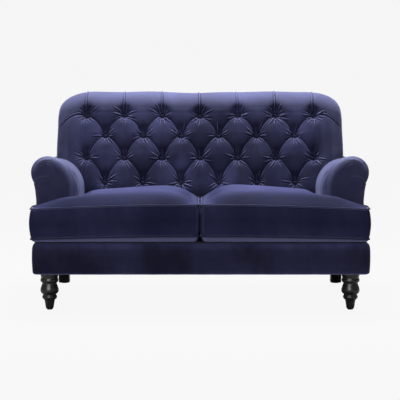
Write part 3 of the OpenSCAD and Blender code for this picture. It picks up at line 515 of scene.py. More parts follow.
lacquer = wood("black_lacquer", (14, 14, 2), (0.0110, 0.0105, 0.0103), (0.0050, 0.0048, 0.0048),
               0.36, 0.00012, 0.7)
timber = wood("frame_timber", (1, 9, 9), (0.56, 0.40, 0.24), (0.33, 0.21, 0.11), 0.6, 0.0002)
timber_up = wood("frame_timber_up", (9, 9, 1), (0.54, 0.38, 0.22), (0.31, 0.20, 0.10), 0.6, 0.0002)
spring_steel = metal("blued_spring_wire", (0.30, 0.32, 0.36), 0.28, 0.2)
bright_steel = metal("bright_steel", (0.62, 0.63, 0.65), 0.25, 0.2)
zip_metal = metal("dark_zip_metal", (0.12, 0.12, 0.13), 0.32, 0.15)
jute = woven("jute_webbing", (0.42, 0.31, 0.18), (0.24, 0.17, 0.09), 0.0028)
black_lining = woven("black_lining", (0.018, 0.018, 0.021), (0.007, 0.007, 0.009), 0.0016, 0.9, 0.0002)
zip_tape = woven("zip_tape", (0.022, 0.022, 0.040), (0.010, 0.010, 0.022), 0.0010, 0.8, 0.0002)
glide_plastic = rubbed("glide_plastic", (0.010, 0.010, 0.011), (0.027, 0.027, 0.0287), (0.5, 0.8), 0.45, 0.15,
                       35.0, 0.00008, grit=700.0)

# %% [markdown]
# The timbers, springs, webbing and small fittings keep their CAD shape, which is
# right as it is. They only need their finish: long pieces get a grain that runs
# along them, uprights one that runs up.

# %% Finish the hard parts that stay
UPRIGHT = ("post", "corner_blocks", "wings")
FITTINGS = {"back_webbing": jute, "seat_deck": black_lining, "seat_springs": spring_steel,
            "spring_clips": bright_steel, "leg_bolts": bright_steel, "foot_glides": glide_plastic,
            "dust_cover": black_lining, "left_cushion_zip": zip_tape, "right_cushion_zip": zip_tape,
            "left_zip_slider": zip_metal, "right_zip_slider": zip_metal}
TIMBERS = [name for name in nodes if "rail" in name or any(word in name for word in UPRIGHT)]

for name in TIMBERS:
    cover_in(nodes[name], timber_up if any(word in name for word in UPRIGHT) else timber)
for name, finish in FITTINGS.items():
    cover_in(nodes[name], finish)
print("timbers", len(TIMBERS), "fittings", len(FITTINGS))

# %% [markdown]
# The buttoned back is one big padded cover. On the bench the maker pulls each
# button through the wadding with twine, and tucks the spare velvet into pleats
# that run from button to button. So the surface is described the same way: a plain
# padded board with a rolled top, and a depth at each point that comes from the
# nearest pleat and the nearest button. A dense grid then carries those depths.

# %% The plain padded shape of the back
HALF_BACK = 690.0
ROLL_Y, ROLL_Z, ROLL_R = 371.0, 848.0, 94.0
RAKE = math.radians(18.3)
FACE_TOP_Y, FACE_TOP_Z = 281.75, 877.5
PAD_FRONT_Y = 152.0
DECK_TOP = 311.6
ROLL_END = math.asin(58.0 / ROLL_R)
ARM_TOP_REAR = 628.0
BUTTON_GAP = 182.0
TOP_Z, FALL_FROM_Z = 942.0, 648.0
CORNER_X, CORNER_FALL = 500.0, 145.0
MIDDLE_DIP, DIP_REACH = 6.5, 110.0
SIDE_X, SIDE_IN = 635.0, 45.0


def corner_drop(x):
    """How far the top edge lies below its full height: the round corners and the dip at the middle."""
    t = clamp((np.abs(x) - CORNER_X) / (HALF_BACK - CORNER_X), 0, 1)
    return CORNER_FALL * (1 - (1 - t * t) ** 0.3) + MIDDLE_DIP * hump(x, 0, DIP_REACH)


def fallen(x, z):
    return z - corner_drop(x) * smooth((z - FALL_FROM_Z) / (TOP_Z - FALL_FROM_Z))


def side_edge(x):
    """How far the padding curves back at its two sides."""
    t = clamp((np.abs(x) - SIDE_X) / (HALF_BACK - SIDE_X), 0, 1)
    return SIDE_IN * (1 - np.sqrt(1 - t * t))


def frame_y(z):
    """The rear plane of the leaning frame."""
    return 436 - (790 - z) * math.tan(math.radians(6.45))


def web_y(z):
    """The plane of the webbing behind the pad."""
    return 350 - (848 - z) * math.tan(math.radians(10.9))


def quarter_oval(angle, width, height):
    return width * (1 - np.cos(angle)), height * np.sin(angle)


# The arm's section: up its inner face, over the top and round the outward roll
ARM_IN, ARM_TOP_X, ARM_OUT = 552.0, 680.0, 757.0
INNER_FALL, ROLL_FALL = 140.0, 72.0
turn = np.radians(np.linspace(0, 90, 60))
inner_x, inner_z = quarter_oval(turn, ARM_TOP_X - ARM_IN, INNER_FALL)
roll_x, roll_z = quarter_oval(turn[::-1], ARM_OUT - ARM_TOP_X, ROLL_FALL)
ARM_X = np.concatenate([ARM_IN + inner_x, ARM_OUT - roll_x])
ARM_Z = ARM_TOP_REAR + np.concatenate([inner_z - INNER_FALL, roll_z - ROLL_FALL])


def pad_low(x):
    """Lowest edge of the cover: the seat deck between the arms, the arm top beyond them."""
    return np.where(np.abs(x) < ARM_IN - 1, DECK_TOP, np.interp(np.abs(x), ARM_X, ARM_Z) - 2)


# %% Buttons and pleats
FIRST_ROW_Z, ROW_GAP, ROW_SPREAD = 836.0, 96.0, 8.7


def row_z(b):
    """Height of a row of buttons. The rows are counted from the top and spread a little downwards."""
    return FIRST_ROW_Z - ROW_GAP * b - ROW_SPREAD * b * (b - 1) / 2


def rise_of(z):
    """Distance up the raked face from the first row of buttons."""
    return (z - FIRST_ROW_Z) / math.cos(RAKE)


ROW_Z = [row_z(r) for r in range(4)]
ROW_S = [rise_of(z) for z in ROW_Z]
BUTTONS = [(BUTTON_GAP * (k + 0.5 * (r % 2)), r) for r in range(4) for k in range(-3, 4 - r % 2)]
FACE_TOP_S = rise_of(FACE_TOP_Z)
SCALLOP = 0.17


def pleat_lines():
    """Each pleat as points (x, rise, how far along it is), bowed like the edge of a scallop."""
    lines = []
    along = np.linspace(0, 1, 130)
    for x, r in BUTTONS:
        for side in (-1, 1):
            if r < 3 and abs(x + side * BUTTON_GAP / 2) < 3.01 * BUTTON_GAP:
                b = r + along - SCALLOP * np.sin(math.pi * along)
                lines.append(np.stack([x + side * along * BUTTON_GAP / 2, rise_of(row_z(b)), along], 1))
        if r == 3:
            lines.append(np.stack([x + 0 * along, ROW_S[3] - along * 200, along * 0.5], 1))
    return np.concatenate(lines)


def nearest(points, samples):
    tree = kdtree.KDTree(len(samples))
    for i, (x, s) in enumerate(samples[:, :2]):
        tree.insert((x, s, 0), i)
    tree.balance()
    found = [tree.find((x, s, 0)) for x, s in points]
    return np.array([f[2] for f in found]), np.array([f[1] for f in found])


# The line of the pleat from the outermost button to the side, eased by a running mean
side_x = np.linspace(546, 690, 80)
side_s = np.interp(side_x, [546, 556, 570, 590, 615, 640, 662, 690], [0, 5, 10, 14.5, 12, 3, -10, -32])
side_s = np.convolve(np.pad(side_s, 6, mode="edge"), np.ones(13) / 13, mode="valid")


def tufting(x, s):
    """Depth of the cover at each width x and rise s, in millimetres, before small creases."""
    lines = pleat_lines()
    gap, hit = nearest(np.stack([x, s], 1), lines)
    near_button = (2 * lines[hit, 2] - 1) ** 2
    outside = np.where(s > lines[hit, 1], gap, -gap)
    # Diamond pleats: a groove outside each scallop's line and a proud lip inside it
    depth = 10 * np.exp(-gap / 28) + (1.0 + 4.0 * near_button) * hump(outside, 2.5, 4.2)
    depth -= (0.5 + 2.6 * near_button) * hump(outside, -5.0, 3.4)
    # Upright pleats over the top roll, each with a proud lip and a tuck beside it
    for k in range(-3, 4):
        across = x - BUTTON_GAP * k - 2.0 * np.sin(s / 40 + k)
        above = smooth(s / 14)
        near = np.exp(-np.maximum(s, 0) / 42)
        depth += above * (1.2 + 4.5 * near) * hump(across, 2.6, 3.6)
        depth -= above * (1 - 0.4 * near) * 5.2 * hump(across, -3.0, 3.0)
        depth += above * 13 * near * np.exp(-np.abs(across) / 24)
    # Side pleats from the outer buttons of the first row
    line = np.interp(np.abs(x), side_x, side_s)
    below = line - s
    reach = smooth((np.abs(x) - 540) / 12)
    depth += reach * (3.0 * hump(below, 3.5, 4.5) + 3 * np.exp(-np.abs(below - 6) / 22) * (below > -12))
    depth -= reach * 2.6 * hump(below, -3.5, 4.0)
    # Funnels at the buttons
    for bx, r in BUTTONS:
        ds = s - ROW_S[r]
        away = np.hypot(x - bx, np.where(ds > 0, ds / 1.9, ds))
        depth += 30 * np.exp(-(away / 18) ** 1.5)
        depth -= 3.2 * hump(away, 21, 5) * smooth(-ds / 12)
    return depth


def creases(x, s):
    """Proud folds with a hollow at each side. They fan out from each button, no two alike."""
    depth = np.zeros_like(x)
    dice = random.Random(7)
    for bx, r in BUTTONS:
        count = dice.randint(9, 11)
        close = (np.abs(x - bx) < 70) & (np.abs(s - ROW_S[r]) < 70)
        dx, ds = x[close] - bx, s[close] - ROW_S[r]
        away = np.hypot(dx, ds)
        added = np.zeros_like(dx)
        for i in range(count):
            angle = 2 * math.pi * (i + dice.uniform(-0.3, 0.3)) / count
            length = dice.uniform(45, 84)
            proud = dice.uniform(1.8, 4.0)
            wide = dice.uniform(2.6, 3.4)
            bend = dice.uniform(-0.004, 0.004)
            ahead = dx * math.cos(angle) + ds * math.sin(angle)
            across = -dx * math.sin(angle) + ds * math.cos(angle) + bend * ahead * ahead
            reach = smooth((ahead - 8) / 12) * (1 - smooth((away - 0.3 * length) / (0.7 * length)))
            fan = lerp(0.85, 1.2, clamp((away - 10) / 45, 0, 1)) * wide
            added -= proud * reach * (hump(across, 0, fan) - 0.65 * hump(np.abs(across), 1.9 * fan, fan))
        depth[close] += added
    return depth


# %% [markdown]
# Where the pad meets the arms and the seat it is tucked in, so the lowest edge goes
# a little under its neighbours. The cover is one closed skin: up the front, over
# the roll, down to the top rail behind, and back along the webbing inside.

# %% Back pad
edge_xs = SIDE_X + (HALF_BACK - SIDE_X) * np.sin(np.radians(np.linspace(90, 0, 19)))
xs = np.concatenate([-edge_xs[:-1], np.linspace(-SIDE_X, SIDE_X, 561), edge_xs[::-1][1:]])
low_zs = np.linspace(DECK_TOP, 480, 15)[:-1]
face_zs = np.concatenate([low_zs, np.linspace(480, FACE_TOP_Z, 172)])
roll_turn = np.linspace(math.pi - RAKE, -ROLL_END, 90)[1:]


def cover_depth(x, s):
    """Depth of the cover below the plain padded shape, with pleats, creases and soft unevenness."""
    depth = tufting(x, s) + creases(x, s)
    depth += 1.6 * np.sin(x / 47 + 1.3 * np.sin(s / 61)) * np.sin(s / 53 + 2)
    depth *= 1 - 0.8 * smooth((np.abs(x) - 655) / 35)
    return clamp(depth, -6, 40)


def padded_face():
    """The raked front, from the seat or the arm up to the roll."""
    x, z = np.meshgrid(xs, face_zs, indexing="ij")
    low = pad_low(x)
    mid = np.maximum(ROW_Z[2], low + 65)
    z = np.where((z >= mid) | (low <= DECK_TOP), z, lerp(low, mid, (z - DECK_TOP) / (mid - DECK_TOP)))
    depth = cover_depth(x.ravel(), rise_of(z).ravel()).reshape(x.shape)
    raked = FACE_TOP_Y - (FACE_TOP_Z - z) * math.tan(RAKE) - PAD_FRONT_Y
    y = PAD_FRONT_Y + 0.5 * (raked + np.sqrt(raked * raked + 120))
    lean = smooth((raked + 10) / 20)
    y = y + depth * lerp(1, math.cos(RAKE), lean) + side_edge(x)
    return np.stack([x, y, fallen(x, z - depth * math.sin(RAKE) * lean)], 2)


def padded_roll():
    """The top roll, from the head of the face over to the top rail behind."""
    x, turned = np.meshgrid(xs, roll_turn, indexing="ij")
    rise = FACE_TOP_S + ROLL_R * (math.pi - RAKE - turned)
    r = ROLL_R - cover_depth(x.ravel(), rise.ravel()).reshape(x.shape)
    drawn_in = side_edge(x) * np.where(np.cos(turned) > 0, 0.25, 1)
    return np.stack([x, ROLL_Y + (r - drawn_in) * np.cos(turned), fallen(x, ROLL_Z + r * np.sin(turned))], 2)


def padded_back():
    inside = []
    for x in xs:
        bottom, top, end = float(pad_low(x)), float(fallen(x, 866.3)), float(fallen(x, ROLL_Z - 58))
        if abs(x) > 630:
            path = [(frame_y(z) - 0.3, z) for z in np.linspace(end, bottom, 4)]
        else:
            path = [(431.3, end), (431.3, top), (web_y(top) - 3.3, top), (web_y(bottom) - 3.3, bottom)]
        inside.append([(x, y, z) for y, z in path])
    return laid_sheet("buttoned_back", np.concatenate([padded_face(), padded_roll(), inside], 1), closed=True)


back = padded_back()
smooth_shade(back, 50)
x, y, z = mm_points(back).T
# Painted light over the top roll and painted sheen at the rounded sides, less on the roll's faces turned back.
to_pleat = np.abs((x / BUTTON_GAP + 0.5) % 1 - 0.5) * BUTTON_GAP
roll_light = smooth((z + 0.9 * corner_drop(x) - 838 - 34 * hump(to_pleat, 0, 40)) / 34)
roll_light *= 1 - 0.85 * smooth((normals_of(back)[:, 1] + 0.1) / 0.6)
side_sheen = smooth((np.abs(x) - 540) / 60)
paint_fold_light(back, 0.12, 0.3 * roll_light + 0.17 * side_sheen * (1 - roll_light))
dress(back, velvet_cover, stands_for=("back_pad",))

# %% [markdown]
# Each button is a metal cap covered in the same velvet, pulled deep into the pad, in a darker copy of its finish
# as painted shade, with a strong painted top light.
# It is shaped from a ball: flattened at the back, domed in front, its edge rolled.
# All are then joined into one piece.

# %% Covered buttons
BUTTON_R, BUTTON_RISE, BUTTON_DEPTH = 11.0, 6.0, 32.0


def covered_buttons():
    caps = []
    tip = math.pi / 2 - RAKE
    for x, r in BUTTONS:
        pick()
        bpy.ops.mesh.primitive_uv_sphere_add(segments=28, ring_count=16, radius=1)
        cap = bpy.context.object
        ball = points_of(cap)
        out = clamp(ball[:, 2], -0.35, 1)
        width = np.hypot(ball[:, 0], ball[:, 1])
        swell = BUTTON_R * width ** 0.7 / np.maximum(width, 1e-6)
        dome = BUTTON_RISE * np.sign(out) * np.abs(out) ** 1.1
        y = ball[:, 1] * swell * math.cos(tip) - dome * math.sin(tip)
        z = ball[:, 1] * swell * math.sin(tip) + dome * math.cos(tip)
        y0 = FACE_TOP_Y - (FACE_TOP_Z - ROW_Z[r]) * math.tan(RAKE) + BUTTON_DEPTH * math.cos(RAKE)
        z0 = float(fallen(np.array(x), ROW_Z[r] - BUTTON_DEPTH * math.sin(RAKE)))
        move_points(cap, np.stack([ball[:, 0] * swell + x, y + y0, z + z0], 1) * MM)
        caps.append(cap)
    covered = joined("covered_buttons", caps)
    edit_all(covered, merge_points, turn_outwards)
    return covered


buttons = covered_buttons()
smooth_shade(buttons, 60)
dress(buttons, velvet_button, stands_for=("back_buttons",))

# %% [markdown]
# Each seat cushion is T-shaped: a body between the arms and an ear that reaches in
# front of the arm. It is a box of velvet, top and bottom panels sewn to a boxing
# strip with a piped seam at each, and a fibre filling that crowns the top. It starts
# as a block, gets its ear by extruding one side, has its corners rounded, and is then
# turned into an even net of small squares that can be crowned and blown up.

# %% Seat cushion block with its ear
X0, X1, Y0, Y1 = 5.0, 745.0, -458.0, 135.0
NOTCH_X, NOTCH_Y = 544.0, -310.0
CUSHION_Z0, SEAM_LOW, SEAM_HIGH = 311.6, 337.1, 477.1
CORNER_R, FILLET_R = 26.0, 68.0
UNDER_R = 22.0
EAR_DIP, LOW_SHARE = 19.0, 0.65
GAP_SAG = 28.0
# The corners of the plan in order, each with its radius. The inner one is hollow.
CORNERS = [(X0, Y0, CORNER_R), (X1, Y0, CORNER_R), (X1, NOTCH_Y, CORNER_R), (NOTCH_X, NOTCH_Y, FILLET_R),
           (NOTCH_X, Y1, CORNER_R), (X0, Y1, CORNER_R)]


def select_by(piece, kind, test):
    """Selects the edges or faces whose corner points, in millimetres, pass the test."""
    pick(piece)
    bpy.ops.object.mode_set(mode="EDIT")
    bpy.ops.mesh.select_all(action="DESELECT")
    bpy.ops.mesh.select_mode(type=kind)
    bpy.ops.object.mode_set(mode="OBJECT")
    mesh = piece.data
    for part in {"EDGE": mesh.edges, "FACE": mesh.polygons}[kind]:
        part.select = bool(test([mesh.vertices[i].co * 1000 for i in part.vertices]))
    bpy.ops.object.mode_set(mode="EDIT")


def upright_at(x, y):
    return lambda ends: all(abs(p.x - x) < 0.5 and abs(p.y - y) < 0.5 for p in ends)


def under_rim(ends):
    """The lowest edges that run round the outside of the block."""
    if any(p.z > CUSHION_Z0 + 1 for p in ends):
        return False
    x, y = sum(p.x for p in ends) / 2, sum(p.y for p in ends) / 2
    return min(abs(x - X0), abs(x - X1), abs(y - Y0), abs(y - Y1)) < 12 or x > NOTCH_X - 12 and y > NOTCH_Y - 2


def cushion_block(name):
    pick()
    bpy.ops.mesh.primitive_cube_add(size=1)
    block = named(name)
    middle = np.array([(X0 + NOTCH_X) / 2, (Y0 + Y1) / 2, (CUSHION_Z0 + SEAM_HIGH) / 2])
    move_points(block, (points_of(block) * [NOTCH_X - X0, Y1 - Y0, SEAM_HIGH - CUSHION_Z0] + middle) * MM)
    bpy.ops.object.mode_set(mode="EDIT")
    bpy.ops.mesh.select_all(action="SELECT")
    bpy.ops.mesh.bisect(plane_co=(0, NOTCH_Y * MM, 0), plane_no=(0, 1, 0))
    select_by(block, "FACE", lambda ends: all(p.x > NOTCH_X - 1 and p.y < NOTCH_Y + 1 for p in ends))
    bpy.ops.mesh.extrude_region_move(TRANSFORM_OT_translate={"value": ((X1 - NOTCH_X) * MM, 0, 0)})
    for x, y, radius in sorted(CORNERS, key=lambda corner: corner[2]):
        select_by(block, "EDGE", upright_at(x, y))
        bpy.ops.mesh.bevel(offset=radius * MM, segments=8, affect="EDGES")
    select_by(block, "EDGE", under_rim)
    bpy.ops.mesh.bevel(offset=UNDER_R * MM, segments=6, affect="EDGES")
    bpy.ops.object.mode_set(mode="OBJECT")
    return block


def edge_rise(d, reach, power):
    """Rise from nought at an edge to one at its reach."""
    return np.sin(math.pi / 2 * clamp(d / reach, 0, 1)) ** power


def crown(x, y):
    """Share of the crown's full height, from nought at the seam to one in the middle."""
    to_notch = np.hypot(np.maximum(NOTCH_X - x, 0), np.maximum(NOTCH_Y - y, 0))
    slope = 1 - 0.38 * clamp((x - 153) / 391, 0, 1.2) ** 1.2 * smooth((y + 330) / 300)
    return (edge_rise(x - X0, 165, 1.0) * edge_rise(X1 - x, 205, 1.1) * edge_rise(y - Y0, 115, 0.75)
            * edge_rise(Y1 - y, 170, 0.9) * edge_rise(to_notch, 60, 0.4) * slope)


def ear_dip(x):
    """How far the upper seam drops towards the ear."""
    return EAR_DIP * clamp((x - 150) / (X1 - 150), 0, 1) ** 1.5


def gap_sag(x, y):
    """How far the upper seam sags where the two cushions lean into their gap."""
    return GAP_SAG * hump(x, X0, 36) * smooth((y - Y0 - 10) / 150)


# %% Crown, drawn-in seams and the pressure of the filling
CROWN = 42.0
NET_SQUARE = 7.5 * MM


def boxing_share(z):
    """Height as a share of the boxing strip, from the lower seam to the upper one."""
    return clamp((z - SEAM_LOW) / (SEAM_HIGH - SEAM_LOW), 0, 1)


def shaped_cushion(name):
    cushion = cushion_block(name)
    net = cushion.modifiers.new("net", "REMESH")
    net.mode = "VOXEL"
    net.voxel_size = NET_SQUARE
    apply_modifiers(cushion)
    ease = cushion.modifiers.new("ease", "SMOOTH")
    ease.iterations = 3
    apply_modifiers(cushion)
    p, n = mm_points(cushion), normals_of(cushion)
    x, y, z = p.T
    upper = smooth((z - (SEAM_HIGH - 14)) / 12)
    bulge = 8.5 * np.sin(math.pi * boxing_share(z)) - 2
    bulge = np.where(n[:, 1] > 0.5, bulge * 0.7, bulge)
    p[:, :2] += n[:, :2] * (np.hypot(n[:, 0], n[:, 1]) * bulge)[:, None]
    z += crown(x, y) * CROWN * upper
    up = boxing_share(z)
    dip = ear_dip(x) * clamp((z - CUSHION_Z0) / 26, 0, 1) * lerp(LOW_SHARE, 1, up)
    z -= dip + gap_sag(x, y) * up
    move_points(cushion, p * MM)
    return cushion


def blow_up(piece, held, pressure, cap, frames=20):
    """Lets the filling press on the cover for a few frames, while the sewn lines are held.

    No point ends farther from its start than the cap.
    """
    start = points_of(piece)
    pins = piece.vertex_groups.new(name="sewn")
    for i in np.flatnonzero(held > 0.02):
        pins.add([int(i)], float(min(held[i], 1)), "REPLACE")
    cloth = piece.modifiers.new("filling", "CLOTH")
    settings = cloth.settings
    settings.vertex_group_mass = "sewn"
    settings.use_pressure = True
    settings.uniform_pressure_force = pressure
    settings.effector_weights.gravity = 0
    settings.quality = 4
    settings.tension_stiffness = settings.compression_stiffness = 12
    settings.bending_stiffness = 1.2
    cloth.collision_settings.use_self_collision = False
    scene = bpy.context.scene
    for number in range(1, frames + 1):
        scene.frame_set(number)
    apply_modifiers(piece)
    scene.frame_set(1)
    moved = points_of(piece) - start
    far = np.linalg.norm(moved, axis=1)
    limit = np.where(far > 1e-9, np.minimum(far, cap * (1 - np.exp(-far / cap))) / np.maximum(far, 1e-9), 0)
    move_points(piece, start + moved * limit[:, None])
    print(piece.name, "blown up by at most", round(float((far * limit).max()) * 1000, 1), "mm")


def seam_distance(x, y, z):
    """How near each point is to the two piped seams."""
    body = np.minimum.reduce([x - X0, NOTCH_X - x, y - Y0, Y1 - y])
    ear = np.minimum.reduce([x - X0, X1 - x, y - Y0, NOTCH_Y - y])
    inside = np.maximum(body, ear)
    dip = ear_dip(x)
    high = np.hypot(inside, z + dip + gap_sag(x, y) - SEAM_HIGH)
    low = np.hypot(inside, z + LOW_SHARE * dip - SEAM_LOW)
    return np.minimum(high, low)


def seat_cushion():
    cushion = shaped_cushion("right_cushion_cover")
    x, y, z = mm_points(cushion).T
    held = np.maximum(hump(seam_distance(x, y, z), 0, 9), smooth((CUSHION_Z0 + 8 - z) / 6))
    blow_up(cushion, held, 4.0, 0.007)
    finer = cushion.modifiers.new("finer", "SUBSURF")
    finer.levels = finer.render_levels = 1
    apply_modifiers(cushion)
    return cushion


def sewn_detail(cushion):
    """Draws the cover in at the seams, with the small puckers that a piped seam makes."""
    p, n = mm_points(cushion), normals_of(cushion)
    x, y, z = p.T
    seam = seam_distance(x, y, z)
    along = x + 0.8 * y
    pucker = np.sin(along / 9.5 + 2 * np.sin(along / 71)) * np.sin(along / 37 + z / 60)
    soft = np.sin(x / 83 + 1.1 * np.sin(y / 67)) * np.sin(y / 79 + 0.7)
    depth = 3.2 * hump(seam, 0, 5.5) + 0.8 * pucker * np.exp(-(seam / 24))
    depth -= 1.3 * soft * smooth((z - SEAM_HIGH - 4) / 20)
    move_points(cushion, (p - n * depth[:, None]) * MM)


# Both keep above the seat deck and off the middle line. The right one is stuffed a little fuller.
MIDDLE_GAP, FULLER = 0.8, 5.0
right_cushion = seat_cushion()
sewn_detail(right_cushion)
p = mm_points(right_cushion)
p[:, 2] = np.maximum(p[:, 2], CUSHION_Z0)
p[:, 0] = np.maximum(p[:, 0], MIDDLE_GAP)
move_points(right_cushion, p * MM)
left_cushion = mirrored(right_cushion, "left_cushion_cover")
p[:, 2] += FULLER * crown(p[:, 0], p[:, 1]) * smooth((p[:, 2] - SEAM_HIGH) / 30)
move_points(right_cushion, p * MM)


def painted_light_zones(cushion):
    """Painted shade towards the front of the top, painted light by the gap and at the inner corner, and painted
    bounce light below the lower seam.
    """
    x, y, z = mm_points(cushion).T
    x = np.abs(x)
    dip = ear_dip(x)
    top = smooth((z + dip + gap_sag(x, y) - SEAM_HIGH - 1) / 5)
    belly = smooth((SEAM_LOW - 2 - LOW_SHARE * dip - z) / 4)
    by_gap = hump(x, X0, 42)
    corner = hump(x, X0 + 8, 9) * smooth((Y0 + 40 - y) / 20)
    return top * (0.35 * by_gap - 0.8 * (1 - by_gap) * smooth((-225 - y) / 200)) + 0.7 * belly + 0.22 * corner


for side, cushion in (("right", right_cushion), ("left", left_cushion)):
    smooth_shade(cushion, 60)
    paint_fold_light(cushion, 0.5, painted_light_zones(cushion))
    dress(cushion, velvet_cushion, side + "_cushion", (side + "_seat_cushion",))

# %% [markdown]
# Piping is a cord wrapped in a bias strip of the same velvet and caught in the seam.
# It is a tube swept along the seam line, a shade paler than the panels as painted
# sheen, because its pile always stands open to the light.

# %% Piping round the cushions
PIPING_R, PIPING_IN = 3.8, 1.0


def seam_line(inset):
    """The T-shaped seam in plan, from straight runs and rounded corners, with its outward directions."""
    line = []
    corners = np.array(CORNERS)
    for before, (*here, r), after in zip(np.roll(corners, 1, 0), corners, np.roll(corners, -1, 0)):
        come = (here - before[:2]) / np.linalg.norm(here - before[:2])
        leave = (after[:2] - here) / np.linalg.norm(after[:2] - here)
        middle = here - come * r + leave * r
        for a in np.linspace(0, math.pi / 2, 12):
            line.append(middle + come * r * math.sin(a) - leave * r * math.cos(a))
    closed = np.array(line + line[:1])
    steps = np.concatenate([[0], np.cumsum(np.linalg.norm(np.diff(closed, axis=0), axis=1))])
    even = np.linspace(0, steps[-1], 560)
    path = np.stack([np.interp(even, steps, closed[:, k]) for k in (0, 1)], 1)
    ahead = np.roll(path[:-1], -1, 0) - np.roll(path[:-1], 1, 0)
    ahead /= np.linalg.norm(ahead, axis=1)[:, None]
    out = np.stack([ahead[:, 1], -ahead[:, 0]], 1)
    out = np.concatenate([out, out[:1]])
    return path - out * inset, out


def swept_cord(path, out, z, sides=12):
    """A closed cord along the path, a little uneven as hand-sewn piping is."""
    turn = np.linspace(0, 2 * math.pi, sides + 1)
    step = np.arange(len(path))
    r = PIPING_R * (1 + 0.035 * np.sin(step / 2.3) + 0.03 * np.sin(step / 7.1))
    r[-1] = r[0]
    xy = path[:, None, :] + out[:, None, :] * (np.cos(turn)[None, :, None] * r[:, None, None])
    height = z[:, None] + np.sin(turn)[None, :] * r[:, None]
    return laid_sheet("cord", np.concatenate([xy, height[:, :, None]], 2))


def cushion_piping(name):
    path, out = seam_line(PIPING_IN)
    x, y = path.T
    return joined(name, [swept_cord(path, out, SEAM_HIGH - ear_dip(x) - gap_sag(x, y)),
                         swept_cord(path, out, SEAM_LOW - LOW_SHARE * ear_dip(x))])


for side, piping in both_sides(cushion_piping("right_piping_cords"), "left_piping_cords", 70):
    dress(piping, velvet_piping, side + "_cushion", (side + "_cushion_piping",))

# %% [markdown]
# The arm is a timber box under a thick pad. One cover runs up the inside, over the
# top and round the outward roll, and is pleated onto the front face. From the
# front the inner corner is well rounded and the roll is a full fold that ends in
# a tuck on the outside. The cover is laid as rings from front to back.

# %% Arm shape
FACING_Y, FRONT_Y, LEVEL_Y = -302.0, -288.0, 150.0
ARM_H, TUCK = 680.0, 120.0
ARM_DROP = ARM_H - ARM_TOP_REAR
INNER_ROUND, CREST_ROUND, OUTER_ROUND = 76.0, 28.0, 26.0
CLOSE = 34


def arm_top(y):
    return ARM_H - ARM_DROP * clamp((y - FACING_Y) / (LEVEL_Y - FACING_Y), 0, 1)


def edge_in(d, r):
    """How far an edge rounded to radius r lies in from its corner, at a depth d behind the face."""
    return r - math.sqrt(max(r * r - max(r - d, 0) ** 2, 0)) if d < r else 0.0


def arm_outline(y):
    """The cover in section: up the inside, over the top, round the roll to the tuck."""
    d = y - FACING_Y
    top = float(arm_top(y))
    x_in, x_out = ARM_IN + edge_in(d, INNER_ROUND), ARM_OUT - edge_in(d, OUTER_ROUND)
    crest, side = top - edge_in(d, CREST_ROUND), top - INNER_FALL
    up = [(x_in, z) for z in np.linspace(DECK_TOP, side, 38)[:-1]]
    qx, qz = quarter_oval(np.radians(np.linspace(0, 90, 50)), ARM_TOP_X - x_in, crest - side)
    over = list(zip(x_in + qx, side + qz))
    roll_z = top - ROLL_FALL
    qx, qz = quarter_oval(np.radians(np.linspace(90, 0, 34)), x_out - ARM_TOP_X, crest - roll_z)
    roll = list(zip(x_out - qx, roll_z + qz))[1:]
    t = np.linspace(0, 1, 12)[1:]
    tuck = list(zip(x_out - 13 * t ** 2.2, lerp(roll_z, top - TUCK, t)))
    return np.array(up + over + roll + tuck)


def ring_at(y, front):
    """One closed ring: the outline, then the way back down the outside or through the frame."""
    line = arm_outline(y)
    d = y - FACING_Y
    top = float(arm_top(y))
    end, start = line[-1], line[0]
    if front:
        inset = edge_in(d, OUTER_ROUND)
        way = [(733 - inset, 480), (739 - inset, 379), (741 - inset, DECK_TOP), (690, DECK_TOP)]
    else:
        way = [(727.3, top - TUCK), (727.3, top - 59.7), (602, top - 90), (602, DECK_TOP)]
    way = np.array([tuple(end), *way, tuple(start)])
    steps = np.concatenate([[0], np.cumsum(np.linalg.norm(np.diff(way, axis=0), axis=1))])
    even = np.linspace(0, steps[-1], CLOSE)[1:]
    back_way = np.stack([np.interp(even, steps, way[:, k]) for k in (0, 1)], 1)
    return np.concatenate([line, back_way])


def front_fold(x):
    """Height of the fold that the roll's cover makes across the front face."""
    return np.interp(x, [640, 655, 675, 700, 726, 745], [572, 583, 589, 588, 580, 562])


def front_creases(x, z):
    """How far the front face stands forward: a full lobe above, a fold under it, creases at the rim."""
    below = front_fold(x) - z
    span = smooth((x - 632) / 18) * smooth((752 - x) / 8)
    lobe = 2.5 * hump(x, 690, 70) * hump(z, 622, 60)
    step = -0.8 * span * hump(below, 4, 7)
    step -= 2.2 * span * smooth(below / 12) * np.exp(-np.maximum(below, 0) / 45)
    lip = 0.5 * span * hump(below, -5, 7)
    return lobe + step + lip


def share_out(x, z, wide, fall):
    """Place of a point between the middle of an oval, at nought, and its rim, at one."""
    return np.hypot((x - ARM_TOP_X) / wide, (z - ARM_H + fall) / fall)


def rim_pleats(x, y, z):
    """Two shallow pleats round the outer top of the front face, where the cover is gathered."""
    q = share_out(x, z, ARM_OUT - ARM_TOP_X, ROLL_FALL)
    angle = np.degrees(np.arctan2(z - ARM_H + ROLL_FALL, x - ARM_TOP_X))
    along = smooth((angle - 12) / 25) * smooth((118 - angle) / 30) * smooth((FACING_Y + 34 - y) / 12)
    pleats = 0.0
    for place, deep in ((0.84, 1.6), (0.66, 0.8)):
        line = q - place - 0.05 * np.sin(np.radians(angle))
        pleats = pleats + deep * (hump(line, 0, 0.035) - 0.7 * hump(line, 0.065, 0.035))
    return along * pleats


